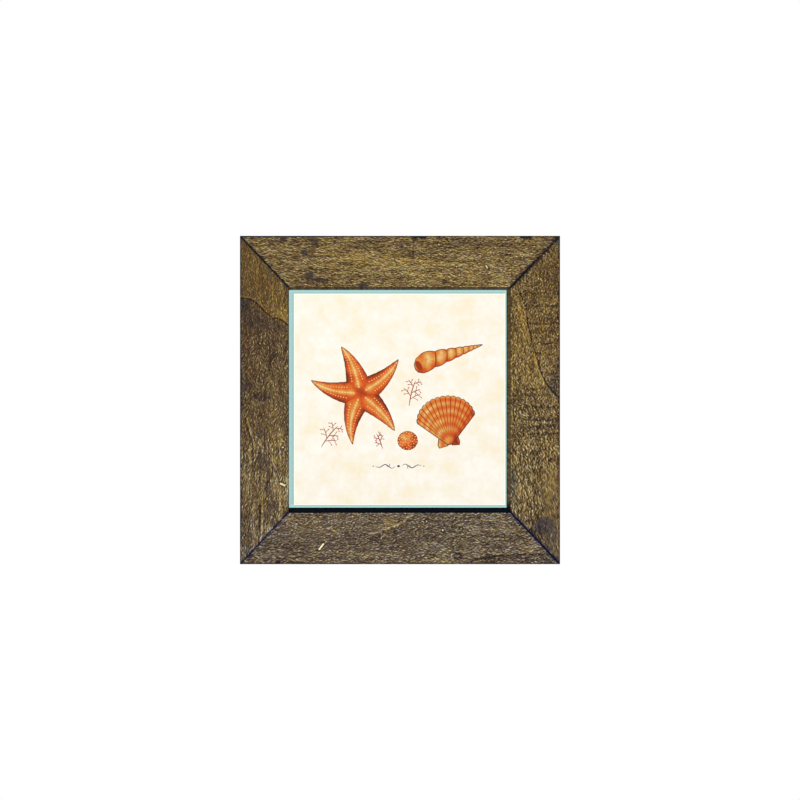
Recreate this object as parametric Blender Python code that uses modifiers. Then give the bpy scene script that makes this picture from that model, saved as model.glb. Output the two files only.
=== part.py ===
"""A square print on a painted panel, held in a mitred wood tray frame that hangs on a wall.

The picture faces -Y, X runs to its right and Z is up. The origin is the top of the hanger's middle notch, where the
wall nail bears, in the plane of the wall.
"""
import math

import bmesh
import bpy
from mathutils import Matrix, Vector

MM = 0.001

# The whole frame, outside
FRAME_WIDTH = 298.5 * MM
FRAME_HEIGHT = 306.25 * MM
RAIL_DEPTH = 20.0 * MM
NOTCH_BELOW_TOP = 20.0 * MM
WALL_GAP = 2.5 * MM

# Width of each rail's face, and the ledge behind the picture as a share of it
RAIL_FACES = {"top": 47.8 * MM, "bottom": 48.4 * MM, "left": 45.2 * MM, "right": 46.0 * MM}
LEDGE_SHARE = 0.25
REBATE = 4.2 * MM
MITRE_GAP = 0.3 * MM
EASED_EDGE = 0.5 * MM

# The panel stands against the left rail, with more room at the right and below
PANEL_SIDE = 203.2 * MM
PANEL_THICKNESS = 2.4 * MM
PANEL_TOP_GAP = 2.6 * MM
PANEL_EDGE = 0.25 * MM

# The sheet lies off-centre on the panel
PRINT_SIDE = 197.4 * MM
PRINT_THICKNESS = 0.4 * MM
PRINT_LEFT_MARGIN = 4.7 * MM
PRINT_TOP_MARGIN = 3.45 * MM

CLEARANCE = 0.3 * MM

# V nails across each mitre
NAIL_LEG = 7.5 * MM
NAIL_SHEET = 0.7 * MM
NAIL_DEPTH = 10.0 * MM
NAIL_SUNK = 0.2 * MM
NAIL_PLACES = {"outer": 0.3, "inner": 0.85}

# Sawtooth hanger and its pins
HANGER_LENGTH = 45.0 * MM
HANGER_HEIGHT = 9.0 * MM
HANGER_SHEET = 1.0 * MM
HANGER_BRIDGE = 29.0 * MM
HANGER_RAMP = 2.5 * MM
TOOTH_COUNT = 9
TOOTH_PITCH = 3.0 * MM
TOOTH_DEPTH = 1.8 * MM
PIN_SPACING = 39.4 * MM
PIN_RISE = 2.7 * MM
PIN_RADIUS = 0.7 * MM
PIN_HEAD_RADIUS = 2.0 * MM
PIN_HEAD_HEIGHT = 0.8 * MM
PIN_LENGTH = 9.0 * MM

# Round pads that keep the lower corners off the wall
BUMPER_RADIUS = 5.0 * MM
BUMPER_TIP_RADIUS = 4.4 * MM
BUMPER_FROM_SIDE = 22.0 * MM
BUMPER_FROM_BOTTOM = 12.0 * MM

ROUND_SIDES = 24
BEYOND = 2.0 * MM
SHARP_ANGLE = math.radians(30)

# Places that follow
TOP = NOTCH_BELOW_TOP
BOTTOM = TOP - FRAME_HEIGHT
RIGHT = FRAME_WIDTH / 2
LEFT = -RIGHT
MIDDLE_Z = (TOP + BOTTOM) / 2
BACK = -WALL_GAP
FRONT = BACK - RAIL_DEPTH
LEDGE = FRONT + REBATE
OPENING = {
    "left": LEFT + RAIL_FACES["left"],
    "right": RIGHT - RAIL_FACES["right"],
    "top": TOP - RAIL_FACES["top"],
    "bottom": BOTTOM + RAIL_FACES["bottom"],
}

# Turns a flat outline's X and Y into the frame's X and Z
UPRIGHT = Matrix.Rotation(math.radians(90), 4, "X")


def clear_scene():
    for old in list(bpy.data.objects):
        bpy.data.objects.remove(old)


def new_collection(name):
    collection = bpy.data.collections.new(name)
    bpy.context.scene.collection.children.link(collection)
    return collection


def material(name, colour, roughness, metallic=0.0):
    made = bpy.data.materials.new(name)
    made.use_nodes = True
    shader = made.node_tree.nodes["Principled BSDF"]
    shader.inputs["Base Color"].default_value = (*colour, 1.0)
    shader.inputs["Roughness"].default_value = roughness
    shader.inputs["Metallic"].default_value = metallic
    return made


def from_mesh(name, mesh, collection):
    obj = bpy.data.objects.new(name, mesh)
    collection.objects.link(obj)
    return obj


def prism(name, outline, thickness, placement, collection):
    """A flat outline given thickness, half on each side of its plane, as a closed mesh."""
    curve = bpy.data.curves.new(name + "_outline", "CURVE")
    curve.dimensions = "2D"
    curve.fill_mode = "BOTH"
    curve.extrude = thickness / 2
    spline = curve.splines.new("POLY")
    spline.points.add(len(outline) - 1)
    for point, (x, y) in zip(spline.points, outline):
        point.co = (x, y, 0.0, 1.0)
    spline.use_cyclic_u = True
    drawn = from_mesh(name + "_curve", curve, collection)
    drawn.matrix_world = placement
    bpy.context.view_layer.update()
    graph = bpy.context.evaluated_depsgraph_get()
    mesh = bpy.data.meshes.new_from_object(drawn.evaluated_get(graph))
    bpy.data.objects.remove(drawn)
    mesh.transform(placement)
    work = bmesh.new()
    work.from_mesh(mesh)
    bmesh.ops.remove_doubles(work, verts=work.verts, dist=0.00001)
    bmesh.ops.dissolve_limit(work, angle_limit=0.001, verts=work.verts, edges=work.edges)
    bmesh.ops.recalc_face_normals(work, faces=work.faces)
    work.to_mesh(mesh)
    work.free()
    mesh.name = name
    return from_mesh(name, mesh, collection)


def cylinder(name, radius, tip_radius, start, end, centre, collection):
    """A round solid along Y, from start (of the first radius) to end (of the tip's)."""
    work = bmesh.new()
    bmesh.ops.create_cone(work, cap_ends=True, segments=ROUND_SIDES, radius1=radius, radius2=tip_radius,
                          depth=end - start, matrix=Matrix.Rotation(math.radians(-90), 4, "X"))
    bmesh.ops.translate(work, verts=work.verts, vec=(centre[0], (start + end) / 2, centre[1]))
    mesh = bpy.data.meshes.new(name)
    work.to_mesh(mesh)
    work.free()
    return from_mesh(name, mesh, collection)


def smooth_round_faces(obj):
    obj.data.shade_smooth()
    obj.data.set_sharp_from_angle(angle=SHARP_ANGLE)


def boolean(obj, other, operation="DIFFERENCE"):
    modifier = obj.modifiers.new(operation.lower() + "_" + other.name, "BOOLEAN")
    modifier.operation = operation
    modifier.object = other
    other.hide_render = True
    other.display_type = "WIRE"


def ease_outer_edges(obj, width):
    """Marks the sharp edges that stand out, so that the Bevel leaves the rebate's inner corner square."""
    work = bmesh.new()
    work.from_mesh(obj.data)
    weight = work.edges.layers.float.get("bevel_weight_edge") or work.edges.layers.float.new("bevel_weight_edge")
    for edge in work.edges:
        stands_out = edge.is_convex and edge.calc_face_angle(0.0) > SHARP_ANGLE
        edge[weight] = 1.0 if stands_out else 0.0
    work.to_mesh(obj.data)
    work.free()
    bevel = obj.modifiers.new("eased_edges", "BEVEL")
    bevel.limit_method = "WEIGHT"
    bevel.width = width
    bevel.segments = 2


def mitre_line(horizontal, vertical):
    """The mitre's outer corner and the way to its inner corner, in X and Z."""
    corner = Vector((LEFT if vertical == "left" else RIGHT, 0, TOP if horizontal == "top" else BOTTOM))
    inner = Vector((OPENING[vertical], 0, OPENING[horizontal]))
    return corner, inner - corner


def cut_at_mitre(obj, corner, along, middle):
    """Cuts a rail's end off at the mitre and closes it, leaving half of the joint's gap."""
    normal = Vector((along.z, 0, -along.x)).normalized()
    if normal.dot(middle - corner) > 0:
        normal = -normal
    work = bmesh.new()
    work.from_mesh(obj.data)
    everything = list(work.verts) + list(work.edges) + list(work.faces)
    cut = bmesh.ops.bisect_plane(work, geom=everything, plane_co=corner - normal * MITRE_GAP / 2,
                                 plane_no=normal, clear_outer=True)
    rim = [item for item in cut["geom_cut"] if isinstance(item, bmesh.types.BMEdge)]
    bmesh.ops.edgeloop_fill(work, edges=rim)
    bmesh.ops.recalc_face_normals(work, faces=work.faces)
    work.to_mesh(obj.data)
    work.free()


def rail(side, collection):
    """One moulding: an L profile, its face outside and its ledge behind the picture."""
    face = RAIL_FACES[side]
    ledge_tip = face * (1 + LEDGE_SHARE)
    profile = [(0, FRONT), (face, FRONT), (face, LEDGE), (ledge_tip, LEDGE), (ledge_tip, BACK), (0, BACK)]
    inward, middle, length = {
        "top": (Vector((0, 0, -1)), Vector((0, 0, TOP)), FRAME_WIDTH),
        "bottom": (Vector((0, 0, 1)), Vector((0, 0, BOTTOM)), FRAME_WIDTH),
        "left": (Vector((1, 0, 0)), Vector((LEFT, 0, MIDDLE_Z)), FRAME_HEIGHT),
        "right": (Vector((-1, 0, 0)), Vector((RIGHT, 0, MIDDLE_Z)), FRAME_HEIGHT),
    }[side]
    depth = Vector((0, 1, 0))
    axes = Matrix((inward, depth, inward.cross(depth))).transposed().to_4x4()
    placement = Matrix.Translation(middle) @ axes
    obj = prism("frame_rail_" + side, profile, length + 2 * BEYOND, placement, collection)
    for other in ("left", "right") if side in ("top", "bottom") else ("top", "bottom"):
        horizontal, vertical = (side, other) if side in ("top", "bottom") else (other, side)
        corner, along = mitre_line(horizontal, vertical)
        cut_at_mitre(obj, corner, along, middle)
    ease_outer_edges(obj, EASED_EDGE)
    return obj


def box(name, left, right, front, back, bottom, top, collection):
    work = bmesh.new()
    size = Matrix.Diagonal((right - left, back - front, top - bottom, 1))
    place = Matrix.Translation(((left + right) / 2, (front + back) / 2, (bottom + top) / 2))
    bmesh.ops.create_cube(work, size=1.0, matrix=place @ size)
    mesh = bpy.data.meshes.new(name)
    work.to_mesh(mesh)
    work.free()
    return from_mesh(name, mesh, collection)


def picture_panel(collection):
    left = OPENING["left"] + CLEARANCE
    top = OPENING["top"] - PANEL_TOP_GAP
    back = LEDGE - CLEARANCE
    obj = box("picture_panel", left, left + PANEL_SIDE, back - PANEL_THICKNESS, back,
              top - PANEL_SIDE, top, collection)
    ease_outer_edges(obj, PANEL_EDGE)
    return obj


def print_sheet(collection):
    left = OPENING["left"] + CLEARANCE + PRINT_LEFT_MARGIN
    top = OPENING["top"] - PANEL_TOP_GAP - PRINT_TOP_MARGIN
    back = LEDGE - CLEARANCE - PANEL_THICKNESS - CLEARANCE
    return box("print_sheet", left, left + PRINT_SIDE, back - PRINT_THICKNESS, back,
               top - PRINT_SIDE, top, collection)


def v_nail(name, apex, way_x, way_z, spare, collection):
    """A V nail seen from behind: two legs from its apex, one into each rail. Spare room makes its pocket."""
    half = NAIL_SHEET / 2 + spare
    leg = NAIL_LEG + spare
    outline = [(-half, -half), (leg, -half), (leg, half), (half, half), (half, leg), (-half, leg)]
    outline = [(way_x * x, way_z * z) for x, z in outline]
    front = BACK - NAIL_SUNK - NAIL_DEPTH - spare
    back = BACK + BEYOND if spare else BACK - NAIL_SUNK
    place = Matrix.Translation((apex.x, (front + back) / 2, apex.z)) @ UPRIGHT
    return prism(name, outline, back - front, place, collection)


def corner_nails(rails, collection, cutters):
    nails = []
    for horizontal in ("top", "bottom"):
        for vertical in ("left", "right"):
            corner, along = mitre_line(horizontal, vertical)
            way_x = -1 if vertical == "left" else 1
            way_z = 1 if horizontal == "top" else -1
            for place, share in NAIL_PLACES.items():
                name = f"corner_nail_{horizontal}_{vertical}_{place}"
                apex = corner + along * share
                nails.append(v_nail(name, apex, way_x, way_z, 0.0, collection))
                pocket = v_nail(name + "_pocket", apex, way_x, way_z, CLEARANCE, cutters)
                boolean(rails[horizontal], pocket)
                boolean(rails[vertical], pocket)
    return nails


def sawtooth_hanger(collection, cutters):
    """A strip bent so that its middle stands off the wood, with notches along its lower edge."""
    half_length = HANGER_LENGTH / 2
    half_bridge = HANGER_BRIDGE / 2
    foot = half_bridge + HANGER_RAMP
    foot_back = BACK + CLEARANCE + HANGER_SHEET
    behind = [(-half_length, foot_back), (-foot, foot_back), (-half_bridge, 0),
              (half_bridge, 0), (foot, foot_back), (half_length, foot_back)]
    before = [(x, y - HANGER_SHEET) for x, y in reversed(behind)]
    low = -TOOTH_DEPTH
    place = Matrix.Translation((0, 0, low + HANGER_HEIGHT / 2))
    obj = prism("sawtooth_hanger", behind + before, HANGER_HEIGHT, place, collection)

    half_row = TOOTH_COUNT * TOOTH_PITCH / 2
    notches = [(-half_row, low - BEYOND), (-half_row, low)]
    for tooth in range(TOOTH_COUNT):
        start = -half_row + tooth * TOOTH_PITCH
        notches += [(start + TOOTH_PITCH / 2, 0), (start + TOOTH_PITCH, low)]
    notches.append((half_row, low - BEYOND))
    boolean(obj, prism("hanger_notches", notches, 4 * WALL_GAP, UPRIGHT, cutters))
    for side, way in (("left", -1), ("right", 1)):
        hole = cylinder("hanger_hole_" + side, PIN_RADIUS + CLEARANCE, PIN_RADIUS + CLEARANCE,
                        BACK - BEYOND, BEYOND, (way * PIN_SPACING / 2, PIN_RISE), cutters)
        boolean(obj, hole)
    return obj


def hanger_pins(top_rail, collection, cutters):
    pins = []
    for side, way in (("left", -1), ("right", 1)):
        centre = (way * PIN_SPACING / 2, PIN_RISE)
        under_head = BACK + CLEARANCE + HANGER_SHEET + CLEARANCE
        tip = under_head - PIN_LENGTH
        pin = cylinder("hanger_pin_" + side, PIN_RADIUS, PIN_RADIUS, tip,
                       under_head + PIN_HEAD_HEIGHT / 2, centre, collection)
        head = cylinder("pin_head_" + side, PIN_HEAD_RADIUS, PIN_HEAD_RADIUS * 0.7, under_head,
                        under_head + PIN_HEAD_HEIGHT, centre, cutters)
        boolean(pin, head, "UNION")
        hole = cylinder("pin_hole_" + side, PIN_RADIUS + CLEARANCE, PIN_RADIUS + CLEARANCE,
                        tip - CLEARANCE, BEYOND, centre, cutters)
        boolean(top_rail, hole)
        pins.append(pin)
    return pins


def wall_bumpers(collection):
    bumpers = []
    for side, way in (("left", -1), ("right", 1)):
        centre = (way * (RIGHT - BUMPER_FROM_SIDE), BOTTOM + BUMPER_FROM_BOTTOM)
        bumpers.append(cylinder("wall_bumper_" + side, BUMPER_RADIUS, BUMPER_TIP_RADIUS,
                                BACK + CLEARANCE, 0.0, centre, collection))
    return bumpers


def finish(objects, made_of):
    for obj in objects:
        obj.data.materials.clear()
        obj.data.materials.append(made_of)
        smooth_round_faces(obj)


def main():
    clear_scene()
    parts = new_collection("framed_print")
    cutters = new_collection("cutters")
    wood = material("stained_wood", (0.165, 0.122, 0.064), 0.75)
    aqua = material("aqua_paint", (0.392, 0.609, 0.597), 0.6)
    paper = material("cream_paper", (0.947, 0.915, 0.782), 0.85)
    steel = material("zinc_steel", (0.55, 0.54, 0.50), 0.4, 1.0)
    rubber = material("grey_rubber", (0.20, 0.20, 0.20), 0.8)

    rails = {side: rail(side, parts) for side in RAIL_FACES}
    nails = corner_nails(rails, parts, cutters)
    panel = picture_panel(parts)
    sheet = print_sheet(parts)
    hanger = sawtooth_hanger(parts, cutters)
    pins = hanger_pins(rails["top"], parts, cutters)
    bumpers = wall_bumpers(parts)

    finish(rails.values(), wood)
    finish([panel], aqua)
    finish([sheet], paper)
    finish([*nails, hanger, *pins], steel)
    finish(bumpers, rubber)


main()
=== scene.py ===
"""A square print on an aqua-edged panel in a mitred frame of dark-stained wood, seen from the front."""
import math
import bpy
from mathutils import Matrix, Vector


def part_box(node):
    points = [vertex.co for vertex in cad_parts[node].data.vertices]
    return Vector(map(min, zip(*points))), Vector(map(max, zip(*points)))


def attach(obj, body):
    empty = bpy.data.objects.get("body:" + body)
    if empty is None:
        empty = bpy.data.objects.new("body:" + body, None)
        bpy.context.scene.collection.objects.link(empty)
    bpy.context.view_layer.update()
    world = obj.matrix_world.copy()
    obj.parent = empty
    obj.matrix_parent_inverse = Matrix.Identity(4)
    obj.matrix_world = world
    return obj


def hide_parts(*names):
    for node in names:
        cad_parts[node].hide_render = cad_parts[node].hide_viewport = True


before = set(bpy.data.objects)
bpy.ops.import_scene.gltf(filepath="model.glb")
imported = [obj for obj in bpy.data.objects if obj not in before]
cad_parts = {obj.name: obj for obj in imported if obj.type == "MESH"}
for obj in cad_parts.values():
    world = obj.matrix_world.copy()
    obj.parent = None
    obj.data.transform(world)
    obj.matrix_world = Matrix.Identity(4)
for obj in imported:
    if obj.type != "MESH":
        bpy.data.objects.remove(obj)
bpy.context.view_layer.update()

from types import SimpleNamespace

import bmesh
import bpy
import numpy as np
from mathutils import Vector
from mathutils.geometry import delaunay_2d_cdt

# Sizes are in metres, written as so many MM. Places on the wood, the paper and the print are plain mm
MM = 0.001
TINY = 0.01 * MM

# The wood frame, worked out from the solids
TOP_LOW, TOP_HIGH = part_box("frame_rail_top")
PANEL_LOW, PANEL_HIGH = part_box("picture_panel")
SHEET_LOW, SHEET_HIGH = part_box("print_sheet")
LEFT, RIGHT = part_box("frame_rail_left")[0].x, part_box("frame_rail_right")[1].x
BOTTOM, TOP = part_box("frame_rail_bottom")[0].z, TOP_HIGH.z
FRONT, BACK = TOP_LOW.y, TOP_HIGH.y
MIDDLE_Z = (BOTTOM + TOP) / 2
PANEL_CLEARANCE = 0.3 * MM
REBATE = PANEL_HIGH.y + PANEL_CLEARANCE - FRONT
DEPTH = BACK - FRONT
# How much further in than its face a rail's ledge reaches, as a share of the face
LEDGE_SHARE = 0.25

# Each rail's neighbours at its low and high ends, the axes along and across it, where its outer side is, and
# which way is inward
RAILS = {
    "top": {"ends": ("left", "right"), "along": 0, "across": 2, "outer": TOP, "inward": -1},
    "bottom": {"ends": ("left", "right"), "along": 0, "across": 2, "outer": BOTTOM, "inward": 1},
    "left": {"ends": ("bottom", "top"), "along": 2, "across": 0, "outer": LEFT, "inward": 1},
    "right": {"ends": ("bottom", "top"), "along": 2, "across": 0, "outer": RIGHT, "inward": -1},
}
# How wide each rail's face is, from its outer side to its rebate
FACE = {}
for side, rail in RAILS.items():
    low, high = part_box("frame_rail_" + side)
    FACE[side] = (high - low)[rail["across"]] / (1 + LEDGE_SHARE)

# Spacing of the rails' fine mesh
FACE_STEP = 0.5 * MM
SIDE_STEP = 0.8 * MM
BACK_STEP = 3.0 * MM
ALONG_STEP = 0.75 * MM
NEAR_AN_EDGE = [0.0, 0.12 * MM, 0.3 * MM, 0.55 * MM, 0.85 * MM, 1.2 * MM]
POCKET_SPARE = 0.3 * MM
WOOD_CREASE = math.radians(50)

# Camera, as far off as a portrait lens that sees 0.9325 mm of the face in each pixel of the 800 x 800 picture
PIXEL = 0.9325 * MM
PICTURE_SIDE = 800
LENS = 85.0
SENSOR = 36.0
# How far the floor lies below the frame, and how far it reaches each way
FLOOR_BELOW = 1.1
FLOOR_REACH = 2.9


def smooth(low, high, x):
    t = np.clip((x - low) / (high - low), 0, 1)
    return t * t * (3 - 2 * t)


def hashed(i, j, seed):
    """A number from 0 to 1 for each cell of a lattice, well stirred by large odd factors."""
    n = (i * 374761393 + j * 668265263 + seed * 1442695041) & 0xFFFFFFFF
    n = ((n ^ (n >> 13)) * 1274126177) & 0xFFFFFFFF
    return ((n ^ (n >> 16)) & 0xFFFFFF) / 0xFFFFFF


def noise(u, v, seed):
    """Gradient noise from about -1 to 1, with one hump or hollow to a unit."""
    i, j = np.floor(u).astype(np.int64), np.floor(v).astype(np.int64)
    f, g = u - i, v - j
    total = 0
    for a in (0, 1):
        for b in (0, 1):
            angle = 2 * np.pi * hashed(i + a, j + b, seed)
            weight = 1
            for t in (1 - abs(f - a), 1 - abs(g - b)):
                weight = weight * t * t * t * (t * (6 * t - 15) + 10)
            total = total + weight * (np.cos(angle) * (f - a) + np.sin(angle) * (g - b))
    return 1.5 * total


def thread(u, v, seed, sharp):
    """Thin winding lines, 1 on the line and 0 beside it."""
    return np.clip(1 - sharp * np.abs(noise(u, v, seed)), 0, 1) ** 1.5


def beside_line(x, z, points):
    """How far each place is from a line through the points, and how far along it."""
    best = np.full(x.shape, 1e9)
    share = np.zeros(x.shape)
    lengths = [math.dist(a, b) for a, b in zip(points, points[1:])]
    before = 0
    for (ax, az), (bx, bz), length in zip(points, points[1:], lengths):
        t = np.clip(((x - ax) * (bx - ax) + (z - az) * (bz - az)) / length ** 2, 0, 1)
        off = np.hypot(x - ax - t * (bx - ax), z - az - t * (bz - az))
        nearer = off < best
        best = np.where(nearer, off, best)
        share = np.where(nearer, (before + t * length) / sum(lengths), share)
        before += length
    return best, share


# Marks on the wood, in mm across the frame (X) and up it (Z) from its middle. First the arcs where the stain
# turns golden
STAIN_ARCS = {
    "left": [
        [(-149.2, 94.6), (-145, 94.9), (-140.4, 94.2), (-135.8, 91.9), (-130.6, 87.4), (-125.6, 81.9),
         (-119.6, 77.5)],
        [(-119.6, 75.8), (-114.4, 76.2), (-110.2, 74.3), (-106.4, 71.3), (-102, 68)],
    ],
    "right": [
        [(112, 100), (114.6, 93.3), (117.5, 85.2), (119.3, 70), (122.7, 56), (126.3, 43.3), (129.7, 31.6),
         (133.8, 20), (139.7, 10.6), (145.5, 4.8), (149, 1.3)],
    ],
}
# Pale and dark lines, most in the grain: the points that each goes through, its half width, and how strong it
# is
PALE_LINES = [
    ([(-29.3, -124.6), (-22.7, -123.7), (-15.9, -121.2), (-8.5, -118.3), (-2.7, -116.3), (4, -113.3),
      (7.4, -109.6), (12.3, -106.2)], 0.8, 3.2),
    ([(-74.2, -118.3), (-71.5, -119.7), (-69.3, -120.4), (-66.5, -119.6), (-63.4, -118.3)], 0.7, 2.4),
    ([(-128.4, -95), (-128.8, -122)], 0.5, 2.6),
    ([(-142.4, -17), (-140.8, -24), (-138.6, -33)], 0.6, 3.4),
    ([(-139.6, -44), (-139.9, -60)], 0.6, 3.2),
    ([(-126, -23), (-125.6, -30)], 0.5, 2.6),
    ([(-135.6, -40), (-135.2, -56)], 0.5, 1.6),
    ([(123.4, 55), (126.6, 36), (130, 25), (133.2, 17.6), (138.2, 10.2), (144.6, 3)], 0.9, 2),
    ([(-148, 96.4), (-141, 96), (-135, 93.6), (-130, 89.4), (-125, 84)], 0.5, 2),
    ([(124, -20.4), (133, -20.9), (146, -21.6)], 0.6, 2),
    ([(122, -28.6), (134, -28.6), (147, -29.2)], 0.6, 1.6),
    ([(128, 68.6), (136, 69.6), (148, 70)], 1, 1.8),
    ([(-63, 132), (-50, 131.6), (-34, 131)], 0.6, 2.6),
    ([(0.5, 131.6), (16, 130.6), (34, 128.6), (62, 126)], 0.8, 2),
    ([(-96, -124), (-84, -121), (-70, -122.6)], 0.6, 1.8),
    ([(70, -133), (84, -130), (104, -128.4)], 0.8, 1.6),
    ([(62, -112.4), (82, -111.8), (98, -113.4)], 0.6, 1.8),
    ([(-136, 143.4), (-118, 142.8), (-105, 143.2)], 1.2, 1.3),
    ([(-101, 135.2), (-70, 135.8), (-40, 135.4), (-22, 134.2), (6, 133.8)], 1.3, 1.1),
    ([(-63, 127.2), (-34, 126.4), (-10, 126.2)], 1.2, 0.9),
    ([(50, 143), (66, 143.4), (82, 142.8)], 1.2, 1.2),
    ([(-26, 112.2), (6, 111.8)], 1.2, 0.9),
    ([(-62, -143.4), (-46, -142.8), (-30, -143.2)], 1.2, 0.8),
    ([(10, -151), (28, -150.6), (46, -151.2)], 1.1, 0.9),
    ([(86, -121.4), (102, -120.8), (118, -121.4)], 1.2, 0.7),
    ([(-147, -8), (-146.6, -24), (-147, -40)], 1.2, 1.1),
    ([(-125.2, -8), (-124.8, -24), (-125, -40)], 1.2, 0.8),
    ([(-138.2, 30), (-137.8, 12), (-138, -4)], 1.2, 0.7),
    ([(-110.2, -82), (-109.8, -98), (-110.4, -112)], 1.2, 1),
    ([(142.6, -8), (143, -24), (142.4, -56), (142, -78)], 1.2, 0.9),
    ([(139.2, -82), (138.8, -98), (139.2, -112)], 1.1, 0.8),
    ([(140, 66), (139.6, 36), (139, 4)], 1.2, 0.7),
    ([(123.4, 66), (122.8, 36)], 1.1, 0.6),
    ([(124, 151.2), (144, 150.6)], 1.1, 0.9),
    ([(-132, -85), (-131.8, -96)], 1, 0.7),
]
DARK_LINES = [
    ([(11.6, 152.6), (12.4, 146), (12, 131.4)], 0.7, 2.6),
    ([(0, 134.4), (10, 134), (13, 132.2), (21, 131), (35, 129.4), (65, 128.8), (82, 128.4)], 0.6, 1.7),
    ([(45, 142.2), (54, 142.6)], 0.6, 3.6),
    ([(-130.5, -97), (-130.7, -125)], 0.65, 3.8),
    ([(-144.4, -17), (-142.4, -26), (-140, -34)], 0.6, 3.2),
    ([(-137.6, -40), (-137.3, -62)], 0.5, 3),
    ([(-119, -62), (-118.8, -74)], 0.6, 3.4),
    ([(-131.4, -68), (-131.2, -80)], 0.6, 2.8),
    ([(80.4, -146.4), (100.2, -144.8), (121.2, -143.8), (137.5, -143.4)], 0.8, 2.8),
    ([(62, -148.2), (80, -147.8), (96, -148.6)], 0.7, 2),
    ([(82, -139.6), (88, -138.8), (94, -138.2)], 0.8, 2),
    ([(-86, 127.6), (-60, 128.4), (-36, 126.6)], 0.6, 1.4),
    ([(119.6, -32), (128, -31.6), (147, -31.6)], 0.9, 2.6),
    ([(121, -25.2), (136, -24.9), (148, -25.4)], 1.5, 1.8),
    ([(119, -18.6), (132, -18.2), (148, -18.9)], 1.3, 1.9),
    ([(116, -7.2), (130, -6.4), (147, -7.2)], 1.5, 1.5),
    ([(130, 53.6), (136, 52.4), (144, 53.2), (147, 55.4)], 0.9, 1.7),
    ([(118, 9.4), (126, 10), (136, 12)], 1, 2.2),
    ([(134.3, 18.9), (137.3, 14.3), (141.4, 9.6), (144.3, 5.6), (147.8, 2)], 0.8, 1.2),
    ([(104, 124), (104.6, 111)], 0.5, 1.6),
    ([(57, -145.5), (55.6, -143.4), (52.6, -143), (50.4, -144.8), (51, -147.4), (54, -148.3), (56.6, -147.2),
      (57, -145.5)], 0.8, 3),
    ([(-138, 151), (-106, 150.8)], 1.1, 0.9),
    ([(-26, 150.8), (10, 150.2), (46, 150), (80, 151)], 1.1, 0.9),
    ([(-118, 129.2), (-106, 128.8)], 1.1, 0.9),
    ([(-100, 146.2), (-84, 145.8), (-68, 146.2)], 1.1, 0.8),
    ([(-62, 118.2), (-46, 117.8), (-30, 118.2)], 1.1, 0.9),
    ([(-24, 138.2), (10, 138.8), (44, 138.6), (60, 136.4), (82, 135.8), (110, 135.2)], 1.1, 1),
    ([(86, 128.2), (104, 127.8)], 1.1, 1.1),
    ([(12, 111.2), (44, 110.8)], 1.1, 0.8),
    ([(-136, -148.2), (-106, -147.8)], 1.1, 0.8),
    ([(-114, -123.8), (-90, -123.2), (-68, -123)], 1.1, 0.7),
    ([(-26, -148.2), (6, -147.8)], 1.1, 0.7),
    ([(12, -118.2), (44, -117.8)], 1.1, 0.7),
    ([(-146.8, 66), (-147, 98)], 1.1, 0.6),
    ([(86, -129.2), (102, -128.6), (116, -129)], 1.1, 1),
    ([(-147, 66), (-146.6, 36)], 1.1, 0.9),
    ([(-130.2, 66), (-129.8, 36)], 1.1, 0.9),
    ([(-136, -8), (-136.2, -40)], 1.1, 0.8),
    ([(-147, -46), (-146.8, -78)], 1.1, 1),
    ([(-133, -46), (-132.8, -78)], 1.1, 0.7),
    # Painted shade: these two dark lines run along the right rail's inner arris, not in its grain
    ([(105.4, 66), (106, 20), (106.4, -40)], 1.4, 0.8),
    ([(106.2, -84), (107, -110)], 1.3, 0.8),
    ([(116, 102), (116.2, 72)], 1.1, 0.8),
    ([(147.6, 90), (147.4, 40), (147.6, -10), (147.4, -110)], 1.3, 0.9),
    ([(146.4, -46), (146, -78)], 1.1, 0.8),
    ([(132, -82), (132.2, -106)], 1, 0.8),
]
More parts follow.
